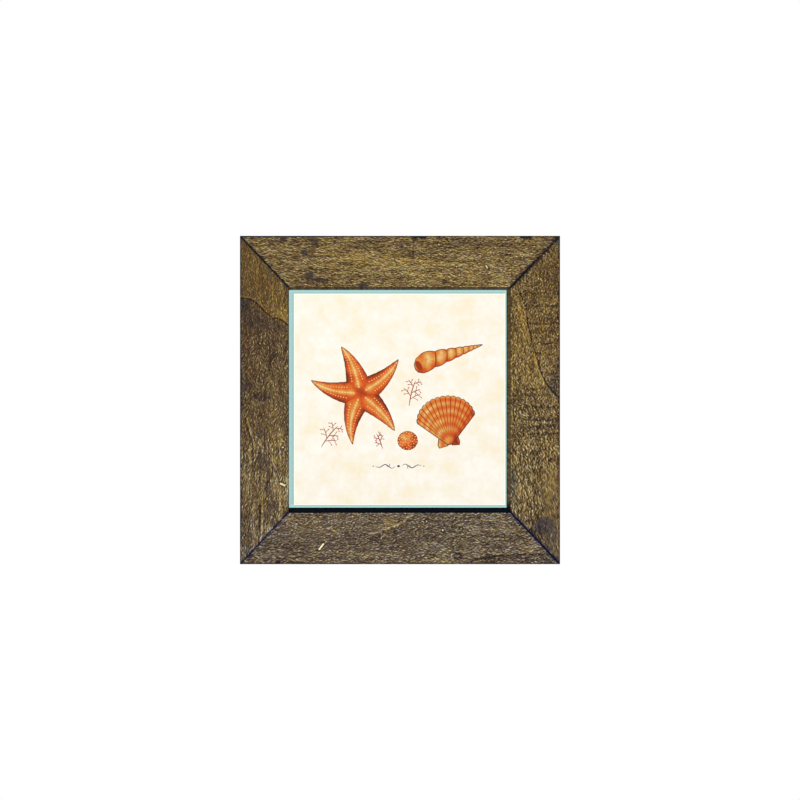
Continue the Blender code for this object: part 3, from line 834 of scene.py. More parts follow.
def worn_relief(at, stain):
    """How far in and back each vertex now lies: arrises and mitres eased, and dark places pressed in."""
    u, face, seed = at.u, at.face, at.seed
    outer_ease = EDGE_EASE + 0.18 * noise(u / 6, u / 50, seed + 40) + 0.08 * noise(u / 1.7, u / 30, seed + 41)
    inner_ease = INNER_EASE + 0.12 * noise(u / 5, u / 50, seed + 42)
    inward, back = rounded(at.inward, at.back, np.clip(outer_ease, 0.15, 1.2) * MM)
    over, under = rounded(face - inward, back, inner_ease * MM)
    before_rebate = at.inward <= face + TINY
    inward, back = np.where(before_rebate, face - over, inward), np.where(before_rebate, under, back)
    inward, from_back = rounded(inward, DEPTH - back, BACK_EASE * MM)
    back = DEPTH - from_back
    for far, corner in at.mitres:
        ease = MITRE_LINE[corner] * 0.8
        drop = ease - np.sqrt(np.maximum(ease ** 2 - np.clip(ease - far, 0, ease) ** 2, 0))
        back = back + np.where(at.on_face, drop * MM, 0)

    pressed = PIT_DEPTH * np.clip(1.2 - stain.worn, 0, 3.5) + stain.dents + CHIP_DENT * stain.chip
    pressed = pressed + WAVE_DEPTH * (0.5 + 0.5 * noise(u / 36, at.v / 13, seed + 39))
    pressed = pressed * MM * np.where(at.at_back | at.in_rebate, 0.25, 1)
    onto_face = at.on_face * smooth(0, 1, at.inward / MM) * smooth(0, 0.8, (face - at.inward) / MM)
    onto_side = (at.inward < TINY) * smooth(0, 1, at.back / MM) * smooth(0, 1, (DEPTH - at.back) / MM)
    return inward + 0.25 * pressed * onto_side, back + pressed * onto_face


def dress_rail(obj, side):
    """Gives a rail its worn relief, and the values that its stain follows."""
    mesh = obj.data
    at = rail_places(side, mesh)
    stain = laid_stain(at)
    for add in (add_patches, add_lines, add_chips, darken_outer_edge, darken_mitres, paint_rebate_shade):
        add(at, stain)
    inward, back = worn_relief(at, stain)
    write_coordinates(mesh, from_rail(side, at.along, inward, back))
    for name in ("worn", "tone", "purple", "black_and_painted_shade", "navy", "slate", "chip"):
        keep_values(mesh, name, getattr(stain, name) * np.ones(at.x.shape))
    keep_values(mesh, "raw", at.raw)
    keep_values(mesh, "inset", at.inward / MM)
    board = mesh.attributes.new("board", "FLOAT_VECTOR", "POINT")
    offset = np.full(at.u.shape, float(at.seed))
    board.data.foreach_set("vector", np.stack([at.u, at.v, offset], -1).astype(np.float32).ravel())


def stained_rail(side, stain):
    vertices, faces = rail_mesh(side)
    obj = mesh_object("worn_rail_" + side, vertices, faces)
    face_outward(obj.data)
    nails = [node for name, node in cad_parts.items()
             if name.startswith("corner_nail") and side in name.split("_")]
    pins = [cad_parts["hanger_pin_left"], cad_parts["hanger_pin_right"]] if side == "top" else []
    cut_pockets(obj, nails + pins)
    dress_rail(obj, side)
    obj.data.materials.clear()
    obj.data.materials.append(stain)
    obj.data.shade_smooth()
    obj.data.set_sharp_from_angle(angle=WOOD_CREASE)
    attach(obj, "root")
    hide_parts("frame_rail_" + side)


def screen_to_light(colours):
    """Screen colours, 0 to 255, as the shader's own numbers."""
    share = np.asarray(colours, float) / 255
    return np.where(share <= 0.04045, share / 12.92, ((share + 0.055) / 1.055) ** 2.4)


def solid(colour):
    """A screen colour as the shader's own, with nothing see-through."""
    return (*screen_to_light(colour), 1.0)


class Tree:
    """Short ways to add and join a node tree's nodes."""

    def __init__(self, tree):
        self.tree = tree

    def add(self, kind, **settings):
        node = self.tree.nodes.new(kind)
        for name, value in settings.items():
            setattr(node, name, value)
        return node

    def feed(self, socket, value):
        if isinstance(value, bpy.types.NodeSocket):
            self.tree.links.new(value, socket)
        else:
            socket.default_value = value

    def math(self, operation, a, b=0.0, clamp=False):
        node = self.add("ShaderNodeMath", operation=operation, use_clamp=clamp)
        self.feed(node.inputs[0], a)
        self.feed(node.inputs[1], b)
        return node.outputs[0]

    def mix(self, share, a, b, blend="MIX"):
        node = self.add("ShaderNodeMix", data_type="RGBA", blend_type=blend)
        self.feed(node.inputs["Factor"], share)
        self.feed(node.inputs[6], a)
        self.feed(node.inputs[7], b)
        return node.outputs[2]

    def between(self, value, low, high, to_low=0.0, to_high=1.0):
        node = self.add("ShaderNodeMapRange")
        for name, x in (("Value", value), ("From Min", low), ("From Max", high),
                        ("To Min", to_low), ("To Max", to_high)):
            self.feed(node.inputs[name], x)
        return node.outputs[0]

    def ramp(self, share, stops):
        node = self.add("ShaderNodeValToRGB")
        elements = node.color_ramp.elements
        while len(elements) < len(stops):
            elements.new(0.5)
        for element, (place, colour) in zip(elements, stops):
            element.position = place
            element.color = colour
        self.feed(node.inputs[0], share)
        return node.outputs[0]

    def screen_ramp(self, share, stops):
        """A ramp between screen colours."""
        return self.ramp(share, [(place, solid(colour)) for place, colour in stops])

    def tinted(self, colour, share, tints):
        """The colour multiplied by a ramp of tints, where 1 changes nothing."""
        ramp = self.ramp(share, [(place, (*tint, 1.0)) for place, tint in tints])
        return self.mix(1.0, colour, ramp, "MULTIPLY")

    def noise(self, vector, scale, detail=2.0, roughness=0.5):
        node = self.add("ShaderNodeTexNoise")
        self.feed(node.inputs["Vector"], vector)
        self.feed(node.inputs["Scale"], scale)
        self.feed(node.inputs["Detail"], detail)
        self.feed(node.inputs["Roughness"], roughness)
        return node.outputs["Fac"]

    def stretch(self, vector, scale, place=(0.0, 0.0, 0.0)):
        node = self.add("ShaderNodeMapping")
        self.feed(node.inputs["Vector"], vector)
        self.feed(node.inputs["Scale"], scale)
        self.feed(node.inputs["Location"], place)
        return node.outputs[0]

    def object_mm(self):
        """The object's own coordinates in mm."""
        return self.stretch(self.add("ShaderNodeTexCoord").outputs["Object"], (1 / MM,) * 3)

    def axes(self, vector):
        node = self.add("ShaderNodeSeparateXYZ")
        self.feed(node.inputs[0], vector)
        return node.outputs

    def kept(self, name, output="Fac"):
        return self.add("ShaderNodeAttribute", attribute_name=name).outputs[output]

    def group(self, tree, **values):
        """A group placed with its own values; all of them put out one Value."""
        node = self.add("ShaderNodeGroup")
        node.node_tree = tree
        for name, value in values.items():
            self.feed(node.inputs[name.capitalize()], value)
        return node.outputs["Value"]

    def bump(self, height, strength, distance):
        node = self.add("ShaderNodeBump")
        self.feed(node.inputs["Height"], height)
        self.feed(node.inputs["Strength"], strength)
        self.feed(node.inputs["Distance"], distance)
        return node.outputs[0]


def new_group(name, inputs):
    """An empty group with these inputs and one output, Value."""
    tree = bpy.data.node_groups.new(name, "ShaderNodeTree")
    for socket, kind, value in inputs:
        made = tree.interface.new_socket(socket, in_out="INPUT", socket_type="NodeSocket" + kind)
        made.default_value = value
    tree.interface.new_socket("Value", in_out="OUTPUT", socket_type="NodeSocketFloat")
    nodes = Tree(tree)
    return tree, nodes, nodes.add("NodeGroupInput").outputs, nodes.add("NodeGroupOutput").inputs["Value"]


def new_material(name, roughness, metallic=0.0, specular=0.5):
    made = bpy.data.materials.new(name)
    made.use_nodes = True
    shader = made.node_tree.nodes["Principled BSDF"]
    shader.inputs["Roughness"].default_value = roughness
    shader.inputs["Metallic"].default_value = metallic
    shader.inputs["Specular IOR Level"].default_value = specular
    return made, Tree(made.node_tree), shader.inputs


def fibre_group():
    """Fine lengthwise fibres, for stained and sawn wood: a value about 0.5."""
    tree, nodes, given, out = new_group(
        "fibres", [("Along", "Vector", (0, 0, 0)), ("Length", "Float", 2.0), ("Width", "Float", 0.4)])
    scale = nodes.add("ShaderNodeCombineXYZ")
    nodes.feed(scale.inputs[0], nodes.math("DIVIDE", 1.0, given["Length"]))
    nodes.feed(scale.inputs[1], nodes.math("DIVIDE", 1.0, given["Width"]))
    scale.inputs[2].default_value = 1.0
    nodes.feed(out, nodes.noise(nodes.stretch(given["Along"], scale.outputs[0]), 1.0, 3.0, 0.6))
    return tree


def mottle_group():
    """Soft blotches at two scales, for stain, paint, paper, metal and rubber: a value about 0.5."""
    tree, nodes, given, out = new_group(
        "mottle", [("Place", "Vector", (0, 0, 0)), ("Size", "Float", 10.0), ("Detail", "Float", 4.0)])
    scale = nodes.math("DIVIDE", 1.0, given["Size"])
    broad = nodes.noise(given["Place"], scale, given["Detail"], 0.55)
    fine = nodes.noise(nodes.stretch(given["Place"], (1, 1, 1), (31.0, 17.0, 5.0)),
                       nodes.math("MULTIPLY", scale, 3.1), 2.0)
    nodes.feed(out, nodes.math("ADD", nodes.math("MULTIPLY", broad, 0.7), nodes.math("MULTIPLY", fine, 0.3)))
    return tree


# The stain's colours from the darkest grain to the palest, at these values of the kept lights and darks,
# painted shade included
WORN_RANGE = 6.0
STAIN_STOPS = [(worn / WORN_RANGE + 1) / 2 for worn in (-6.0, -2.5, -1.0, 0.0, 1.0, 2.5, 6.0)]
GREY_STAIN = [(13, 8, 10), (42, 30, 26), (75, 61, 49), (96, 81, 65), (117, 103, 82), (152, 138, 108),
              (216, 203, 166)]
GOLDEN_STAIN = [(18, 10, 7), (57, 38, 22), (92, 71, 43), (113, 92, 57), (135, 114, 71), (168, 147, 92),
                (225, 208, 147)]
AMBER_STAIN = [(16, 9, 4), (51, 34, 17), (79, 59, 31), (99, 77, 41), (120, 95, 50), (153, 123, 64),
               (210, 180, 110)]
RAW_WOOD = [(118, 84, 52), (150, 116, 78), (174, 141, 98), (188, 156, 112), (201, 171, 128), (215, 189, 148),
            (232, 212, 178)]
# Tints that drift over the stain: cool to warm, green to rosy, and flecks of blue to yellow
WARM_TINTS = [(0.33, (0.97, 0.995, 1.20)), (0.5, (1, 1, 1)), (0.67, (1.03, 1.005, 0.80))]
ROSY_TINTS = [(0.35, (0.90, 1.05, 1)), (0.5, (1, 1, 1)), (0.65, (1.11, 0.95, 1))]
FLECK_TINTS = [(0.28, (0.98, 0.99, 1.36)), (0.5, (1, 1, 1)), (0.72, (1.02, 1.01, 0.64))]
PURPLE_TINT = (0.82, 1.04, 1.90, 1.0)
SLATE = [(0.3, (14, 26, 34)), (0.62, (70, 84, 84))]
# Near black for dark joints and marks, also used as painted shadow in the rebates
BLACK_AND_SHADE_COLOUR = (0, 8, 20)
NAVY = (4, 8, 60)
CHIP = (255, 250, 205)


def stained_wood(fibres, mottle):
    """Dark stain, worn and marked as each rail's kept values say, with painted shade in the rebates, and bare
    sawn wood at the back.
    """
    made, nodes, shader = new_material("stained_wood_worn", 0.78, specular=0.12)
    board = nodes.kept("board", "Vector")
    fine = nodes.group(fibres, along=board, length=2.6, width=0.32)
    worn = nodes.math("ADD", nodes.kept("worn"), nodes.between(fine, 0.25, 0.75, -0.5, 0.5))
    share = nodes.between(worn, -WORN_RANGE, WORN_RANGE)
    grey, golden, amber = (nodes.screen_ramp(share, list(zip(STAIN_STOPS, colours)))
                           for colours in (GREY_STAIN, GOLDEN_STAIN, AMBER_STAIN))
    tone = nodes.kept("tone")
    colour = nodes.mix(nodes.math("MINIMUM", tone, 1.0), grey, golden)
    colour = nodes.mix(nodes.math("SUBTRACT", tone, 1.0, clamp=True), colour, amber)

    warm = nodes.group(mottle, place=nodes.stretch(board, (0.45, 1.0, 1.0)), size=6.0, detail=5.0)
    aside = nodes.stretch(board, (0.7, 1.0, 1.0), (7.0, 3.0, 0.0))
    rosy = nodes.group(mottle, place=aside, size=4.0, detail=2.0)
    flecks = nodes.noise(nodes.stretch(board, (0.24, 0.42, 1.0), (3.0, 9.0, 0.0)), 1.0, 1.0)
    for drift, tints in ((warm, WARM_TINTS), (rosy, ROSY_TINTS), (flecks, FLECK_TINTS)):
        colour = nodes.tinted(colour, drift, tints)
    purple = nodes.math("MULTIPLY", nodes.kept("purple"), 0.6, clamp=True)
    colour = nodes.mix(purple, colour, nodes.mix(1.0, colour, PURPLE_TINT, "MULTIPLY"))
    colour = nodes.mix(nodes.kept("slate"), colour, nodes.screen_ramp(share, SLATE))

    sawn = nodes.between(nodes.group(fibres, along=board, length=26.0, width=0.9), 0.0, 1.0, 0.2, 0.8)
    rings = nodes.noise(nodes.stretch(board, (0.012, 0.16, 1.0)), 1.0, 3.0, 0.6)
    sawn = nodes.math("ADD", sawn, nodes.between(rings, 0.0, 1.0, -0.4, 0.4))
    spilt = nodes.noise(nodes.stretch(board, (0.11, 0.11, 1.0)), 1.0, 3.0)
    inset = nodes.math("ADD", nodes.kept("inset"), nodes.between(spilt, 0.0, 1.0, -3.4, 3.4))
    bare = nodes.math("MULTIPLY", nodes.kept("raw"), nodes.between(inset, 1.4, 3.2))
    colour = nodes.mix(bare, colour, nodes.screen_ramp(sawn, list(zip(STAIN_STOPS, RAW_WOOD))))
    # Black for joints, outline and nicks, and for painted shadow in the rebates and on the bottom's inner
    # arris
    colour = nodes.mix(nodes.kept("black_and_painted_shade"), colour, nodes.mix(nodes.kept("navy"), solid(BLACK_AND_SHADE_COLOUR), solid(NAVY)))
    colour = nodes.mix(nodes.kept("chip"), colour, solid(CHIP))
    nodes.feed(shader["Base Color"], colour)
    nodes.feed(shader["Roughness"], nodes.between(worn, -2.0, 2.0, 0.66, 0.88))
    nodes.feed(shader["Normal"], nodes.bump(nodes.mix(bare, worn, sawn), 0.35, 0.12 * MM))
    return made


# Aqua paint in bands from the panel's left and top edges inward, each with where it ends in mm; the darker
# last band beside the print is painted shadow of the print
LEFT_PAINT_AND_SHADOW = [(1.2, (172, 216, 216)), (3.0, (163, 200, 197)), (5.0, (150, 193, 193))]
TOP_PAINT_AND_SHADOW = [(1.1, (160, 196, 192)), (2.1, (170, 209, 207)), (3.6, (150, 193, 193))]
BAND_SPAN = 10.0
# Where the top's bands end in mm, and the pale paint at the right and bottom edges, with where that ends
TOP_PAINT_END = (4.2, 4.0)
PALE_PAINT = (166, 211, 209)
PALE_PAINT_END = (3.2, 2.8)
BRUSH_TINTS = [(0.3, (0.95, 0.96, 0.97)), (0.7, (1.05, 1.04, 1.03))]
BOARD_BACK = [(0.3, (84, 56, 34)), (0.5, (120, 84, 52)), (0.72, (156, 117, 78))]


def painted_board(mottle):
    """Aqua paint in soft bands on the panel's front and edges, with painted shadow of the print at its left
    and top, and bare pressed board behind.
    """
    made, nodes, shader = new_material("aqua_paint_on_board", 0.55, specular=0.3)
    place = nodes.object_mm()
    x, y, z = nodes.axes(place)
    brushed = nodes.group(mottle, place=nodes.stretch(place, (0.25, 1.0, 1.0)), size=3.0, detail=3.0)

    def bands(distance, paints):
        stops, before = [], 0.0
        for until, colour in paints:
            stops += [((before + 0.25) / BAND_SPAN, colour), ((until - 0.15) / BAND_SPAN, colour)]
            before = until
        return nodes.screen_ramp(nodes.math("DIVIDE", distance, BAND_SPAN), stops)

    from_left = nodes.math("SUBTRACT", x, PANEL_LOW.x / MM)
    from_right = nodes.math("SUBTRACT", PANEL_HIGH.x / MM, x)
    from_top = nodes.math("SUBTRACT", PANEL_HIGH.z / MM, z)
    from_bottom = nodes.math("SUBTRACT", z, PANEL_LOW.z / MM)
    pale = nodes.between(nodes.math("MINIMUM", from_right, from_bottom), *PALE_PAINT_END)
    paint = nodes.mix(pale, bands(from_left, LEFT_PAINT_AND_SHADOW), solid(PALE_PAINT))
    from_side = nodes.math("MINIMUM", from_left, from_right)
    top_wins = nodes.between(nodes.math("SUBTRACT", from_side, from_top), -0.1, 0.1)
    top_wins = nodes.math("MULTIPLY", top_wins, nodes.between(from_top, *TOP_PAINT_END))
    paint = nodes.tinted(nodes.mix(top_wins, paint, bands(from_top, TOP_PAINT_AND_SHADOW)), brushed, BRUSH_TINTS)
    pressed = nodes.group(mottle, place=place, size=1.2, detail=6.0)
    behind = nodes.between(y, PANEL_HIGH.y / MM - 0.35, PANEL_HIGH.y / MM - 0.2)
    nodes.feed(shader["Base Color"], nodes.mix(behind, paint, nodes.screen_ramp(pressed, BOARD_BACK)))
    nodes.feed(shader["Roughness"], nodes.between(brushed, 0.3, 0.7, 0.5, 0.62))
    nodes.feed(shader["Normal"], nodes.bump(nodes.mix(behind, brushed, pressed), 0.25, 0.1 * MM))
    return made


SPANGLES = [(0.3, (150, 148, 140)), (0.5, (186, 185, 178)), (0.7, (206, 205, 199))]
RUBBER = [(0.3, (104, 103, 100)), (0.7, (142, 141, 138))]


def zinc_steel(mottle):
    made, nodes, shader = new_material("zinc_plate", 0.4, metallic=1.0)
    place = nodes.object_mm()
    spangle = nodes.group(mottle, place=place, size=2.2, detail=4.0)
    drawn = nodes.noise(nodes.stretch(place, (0.3, 6.0, 6.0)), 1.0, 2.0)
    nodes.feed(shader["Base Color"], nodes.screen_ramp(spangle, SPANGLES))
    nodes.feed(shader["Roughness"], nodes.between(drawn, 0.3, 0.7, 0.3, 0.5))
    nodes.feed(shader["Normal"], nodes.bump(drawn, 0.15, 0.05 * MM))
    return made


def grey_rubber(mottle):
    made, nodes, shader = new_material("soft_pad", 0.8, specular=0.3)
    grain = nodes.group(mottle, place=nodes.object_mm(), size=0.8, detail=5.0)
    nodes.feed(shader["Base Color"], nodes.screen_ramp(grain, RUBBER))
    nodes.feed(shader["Roughness"], nodes.between(grain, 0.3, 0.7, 0.7, 0.9))
    nodes.feed(shader["Normal"], nodes.bump(grain, 0.3, 0.08 * MM))
    return made


PAPER = (247, 240, 225)
PAPER_BLOTCHES = [(0.34, (246, 234, 205)), (0.5, PAPER), (0.64, (250, 246, 236))]
PAPER_RIM = (255, 254, 236)
RIM_END = (1.1, 0.7)
PAPER_TINTS = [(0.3, (0.985, 0.98, 0.97)), (0.7, (1, 1, 1))]


def printed_paper(mottle):
    """Cream paper, blotched as if aged, with the inks laid over it and a pale cut edge."""
    made, nodes, shader = new_material("cream_paper_printed", 0.85, specular=0.2)
    place = nodes.object_mm()
    blotch = nodes.group(mottle, place=place, size=17.0, detail=6.0)
    x, _, z = nodes.axes(place)
    middle, half = (SHEET_LOW + SHEET_HIGH) / 2 / MM, (SHEET_HIGH - SHEET_LOW) / 2 / MM
    to_side, to_end = (
        nodes.math("SUBTRACT", reach, nodes.math("ABSOLUTE", nodes.math("SUBTRACT", axis, centre)))
        for axis, centre, reach in ((x, middle.x, half.x), (z, middle.z, half.z)))
    rim = nodes.between(nodes.math("MINIMUM", to_side, to_end), *RIM_END)
    paper = nodes.mix(rim, nodes.screen_ramp(blotch, PAPER_BLOTCHES), solid(PAPER_RIM))
    inked = nodes.mix(1.0, paper, nodes.kept("ink", "Color"), "MULTIPLY")
    grain = nodes.noise(place, 1.6, 3.0, 0.6)
    nodes.feed(shader["Base Color"], nodes.tinted(inked, grain, PAPER_TINTS))
    nodes.feed(shader["Roughness"], nodes.between(grain, 0.3, 0.7, 0.8, 0.9))
    nodes.feed(shader["Normal"], nodes.bump(nodes.noise(place, 2.5, 3.0, 0.6), 0.12, 0.05 * MM))
    return made


# Colours of the printed plate, as they look on the paper
INK_LINE = (84, 40, 18)
INK_DEEP = (158, 58, 24)
INK_RED = (200, 78, 28)
INK_ORANGE = (220, 114, 42)
INK_OCHRE = (214, 152, 78)
INK_PALE = (238, 202, 134)
INK_GREY = (70, 66, 74)
# The width of the outlines in mm
HAIRLINE = 0.65


def turned(points, degrees, middle):
    """Points turned about the origin, then moved to their middle."""
    c, s = math.cos(math.radians(degrees)), math.sin(math.radians(degrees))
    points = np.asarray(points, float)
    return np.stack([points[:, 0] * c - points[:, 1] * s + middle[0],
                     points[:, 0] * s + points[:, 1] * c + middle[1]], -1)


def unturned(x, z, degrees, middle):
    """Plate positions back in a motif's own coordinates."""
    places = turned(np.stack([x - middle[0], z - middle[1]], -1), -degrees, (0, 0))
    return places[:, 0], places[:, 1]


def stroke(points, width, ends=0.15):
    """A brush line through the points: a closed outline, thin at both ends."""
    points = np.asarray(points, float)
    ahead = np.gradient(points, axis=0)
    ahead /= np.maximum(np.hypot(ahead[:, 0], ahead[:, 1]), 1e-9)[:, None]
    side = np.stack([-ahead[:, 1], ahead[:, 0]], -1)
    share = np.linspace(0, 1, len(points))
    half = width / 2 * (ends + (1 - ends) * np.sin(np.pi * share) ** 0.6)[:, None]
    return np.concatenate([points + side * half, (points - side * half)[::-1]])


def oval(x, z, across, up, degrees=0.0, count=10):
    turn = np.linspace(0, 2 * np.pi, count, endpoint=False)
    return turned(np.stack([across * np.cos(turn), up * np.sin(turn)], -1), degrees, (x, z))


def blended(*stops):
    """A colour from 0 to 1 along the stops, one for each share."""
    colours = np.array(stops, float)
    at = np.linspace(0, 1, len(stops))
    return lambda share: np.stack([np.interp(share, at, colours[:, k]) for k in range(3)], -1)


def shell_tint(share):
    """From the brown outline through reds and ochres to the palest glint."""
    return blended(INK_LINE, INK_DEEP, INK_RED, INK_ORANGE, INK_OCHRE, INK_PALE)(share)


def plain(colour):
    return lambda x, z: np.tile(np.array(colour, float), (len(x), 1))


# Each motif's middle on the plate, how far it is turned in degrees, and its sizes in mm
STAR = {"middle": (-36.5, 5.5), "turn": 14.0, "reach": 47.0, "width": 13.2,
        "bends": (0.10, -0.13, 0.16, -0.09, 0.12)}
ARM_STEP = 72


def star_reach(thin):
    return STAR["reach"] - 1.6 * thin


def star_arm_width(out, thin):
    return (STAR["width"] - thin) * np.clip(1 - out / star_reach(thin), 0, 1) ** 0.72


def star_swing(out, bend):
    """How far an arm has swung sideways, this far out."""
    return 2.5 * bend * out * (out / STAR["reach"] - 0.3).clip(0) ** 1.5


def star_outline(thin):
    """Five tapering arms that swing a little; thin draws it in from the edge."""
    start = 14.0 - 0.8 * thin
    out = start + (star_reach(thin) - start) * np.linspace(0, 1, 30) ** 0.9
    points = []
    for arm, bend in enumerate(STAR["bends"]):
        wobble = 0.25 * noise(out / 3.0, out * 0 + arm, 901)
        half, swing = star_arm_width(out, thin) - wobble, star_swing(out, bend)
        left = np.stack([out, swing - half], -1)
        right = np.stack([out, swing + half], -1)[::-1][1:]
        both = np.concatenate([left, right])
        points.append(turned(both, 90 + ARM_STEP * arm, (0, 0)))
    return turned(np.concatenate(points), STAR["turn"], STAR["middle"])


def star_places(x, z):
    """How far out each place is along its arm, and how far across the arm, -1 to 1."""
    a, b = unturned(x, z, STAR["turn"] + 90, STAR["middle"])
    arm = np.round(np.degrees(np.arctan2(b, a)) / ARM_STEP).astype(int) % 5
    c, s = np.cos(np.radians(-ARM_STEP * arm)), np.sin(np.radians(-ARM_STEP * arm))
    out, across = a * c - b * s, a * s + b * c
    across = across - star_swing(out, np.array(STAR["bends"])[arm])
    return out, across / np.maximum(star_arm_width(out, 0.0), 1.0)


def star_colour(x, z):
    out, across = star_places(x, z)
    ridge = np.exp(-(across / 0.22) ** 2) * smooth(2.0, 9.0, out)
    rim = smooth(0.55, 1.0, abs(across) + 0.12 * noise(x / 2.5, z / 2.5, 902))
    glow = 0.5 + 0.38 * noise(x / 8, z / 8, 903) + 0.20 * noise(x / 2.2, z / 2.2, 904)
    share = 0.30 + 0.42 * glow + 0.35 * ridge - 0.34 * rim + 0.16 * smooth(10, 44, out)
    share = share - 0.20 * smooth(11, 2, out) - 0.16 * smooth(-0.1, 0.8, across)
    return shell_tint(np.clip(share, 0, 1))


# Rows of bumps down each arm: how far across it, how many, their size, where they start, and how far short
# of the tip they end
BUMP_ROWS = [(0.0, 15, 0.85, 6.5, 3.5), (-0.48, 11, 0.62, 13.0, 9.0), (0.48, 11, 0.62, 13.0, 9.0)]


def star_bumps():
    """Rows of pale bumps down each arm, as ovals that shrink outward."""
    shapes = []
    for arm, bend in enumerate(STAR["bends"]):
        for row, count, size, start, short in BUMP_ROWS:
            out = np.linspace(start, STAR["reach"] - short, count)
            across = row * star_arm_width(out, 0.0) + star_swing(out, bend)
            turn = 90 + ARM_STEP * arm
            places = turned(np.stack([out, across], -1), turn + STAR["turn"], STAR["middle"])
            for (x, z), radius in zip(places, size * (1 - 0.45 * out / STAR["reach"])):
                shapes.append(oval(x, z, radius * 1.15, radius, turn, 7))
    return shapes


SCALLOP = {"middle": (47.0, -42.0), "turn": 9.0, "reach": 45.0, "spread": 49.0, "ribs": 15}


def scallop_reach(angle):
    share = angle / SCALLOP["spread"]
    return SCALLOP["reach"] * (1 - 0.20 * abs(share) ** 2.6)


def fan_points(out, turn):
    """Points this far out from the hinge, at angles from straight up."""
    return np.stack([out * np.sin(turn), out * np.cos(turn)], -1)


def scallop_outline(thin):
    angle = np.linspace(-SCALLOP["spread"], SCALLOP["spread"], 8 * SCALLOP["ribs"] + 1)
    ripple = 0.9 * abs(np.cos(np.pi * SCALLOP["ribs"] * (angle / SCALLOP["spread"] + 1) / 2 + np.pi / 2))
    fan = fan_points(scallop_reach(angle) + ripple - 2.0 * thin, np.radians(angle))
    fan[:, 1] += thin / math.sin(math.radians(SCALLOP["spread"]))
    foot = np.array([(2.2, -0.4 + thin * 1.6), (-2.2, -0.4 + thin * 1.6)])
    return turned(np.concatenate([fan, foot]), SCALLOP["turn"], SCALLOP["middle"])


def scallop_ears(thin):
    t = thin
    left = [(-1.5, -1.2 + t), (-10.5 + t, -2.4 + t), (-11.6 + t * 1.2, 1.0), (-9.6 + t, 8.2 - t), (-4.5, 7.0)]
    right = [(1.5, -1.2 + t), (4.5, 7.0), (8.6 - t, 7.4 - t), (9.8 - t * 1.2, 1.4), (8.8 - t, -2.0 + t)]
    return [turned(ear, SCALLOP["turn"], SCALLOP["middle"]) for ear in (left, right)]


def scallop_places(x, z):
    a, b = unturned(x, z, SCALLOP["turn"], SCALLOP["middle"])
    angle = np.degrees(np.arctan2(a, b))
    return angle, np.hypot(a, b) / scallop_reach(np.clip(angle, -60, 60))


def scallop_colour(x, z):
    angle, out = scallop_places(x, z)
    growth = np.sin(2 * np.pi * (out ** 1.3 * 5.2 + 0.03 * noise(angle / 7, out * 3, 911)))
    glow = noise(x / 7, z / 7, 912) * 0.14 + 0.10 * noise(x / 1.8, z / 1.8, 913)
    share = 0.64 + 0.15 * growth + glow - 0.20 * smooth(0.35, 0.0, out) + 0.10 * smooth(14, -34, angle)
    share = share - 0.26 * smooth(28, 49, angle)
    return shell_tint(np.clip(share, 0, 1))


def scallop_grooves():
    """The dark grooves between ribs, thin at the hinge."""
    shapes = []
    for k in range(1, SCALLOP["ribs"]):
        angle = SCALLOP["spread"] * (2 * k / SCALLOP["ribs"] - 1)
        out = np.linspace(0.16, 0.985, 14) * scallop_reach(angle)
        wide = 0.25 + 0.75 * np.linspace(0, 1, 14)
        turn, open_by = np.radians(angle), wide / 2 / out
        ring = np.concatenate([fan_points(out, turn - open_by), fan_points(out, turn + open_by)[::-1]])
        shapes.append(turned(ring, SCALLOP["turn"], SCALLOP["middle"]))
    return shapes


# The slant is how far each whorl leans along the shell in mm, at its widest
TURRET = {"middle": (20.0, 33.5), "turn": 17.0, "length": 60.0, "width": 9.6, "whorls": 9, "slant": 2.6}


def turret_edges():
    """Where each whorl ends along the shell, from its mouth (0) to its tip (1)."""
    steps = 0.80 ** np.arange(TURRET["whorls"])
    return np.concatenate([[0], np.cumsum(steps) / steps.sum()])


def share_of_whorl(along):
    """How far through its own whorl each place along the shell is, 0 to 1."""
    edges = turret_edges()
    whorl = np.clip(np.searchsorted(edges, along, "right") - 1, 0, TURRET["whorls"] - 1)
    return np.clip((along - edges[whorl]) / (edges[whorl + 1] - edges[whorl]), 0, 1)


def turret_half(along, thin=0.0):
    width = TURRET["width"] * (1 - along) ** 0.92 + 0.5
    return width * (0.86 + 0.17 * np.sin(np.pi * share_of_whorl(along)) ** 0.7) - thin


def turret_lean(across):
    """How far along the shell a whorl has slanted, this far across it."""
    return TURRET["slant"] * across / TURRET["width"]


def turret_outline(thin):
    along = np.linspace(0.0, 1.0, 90)
    half = np.maximum(turret_half(along, thin), 0.12)
    lower, upper = (np.stack([along * TURRET["length"] + turret_lean(across), across], -1)
                    for across in (-half, half))
    mouth = np.array([(-3.4, 6.0), (-6.8, 1.0), (-7.0, -4.0), (-5.0, -7.4 + thin)]) + (thin, 0.0)
    return turned(np.concatenate([lower, upper[::-1], mouth]), TURRET["turn"], TURRET["middle"])


def turret_places(x, z):
    a, b = unturned(x, z, TURRET["turn"], TURRET["middle"])
    return (a - turret_lean(b)) / TURRET["length"], b


def turret_colour(x, z):
    along, across = turret_places(x, z)
    held = np.clip(along, 0, 0.999)
    share = across / np.maximum(turret_half(held), 0.6)
    lit = 0.80 - 0.42 * smooth(-0.1, -1.0, share) - 0.18 * smooth(0.5, 1.0, share)
    fleck = 0.12 * noise(along * 40, across / 1.6, 921) + 0.10 * noise(x / 4.5, z / 4.5, 922)
    band = 0.13 * np.cos(2 * np.pi * share_of_whorl(held))
    return shell_tint(np.clip(lit + fleck - band, 0, 1))


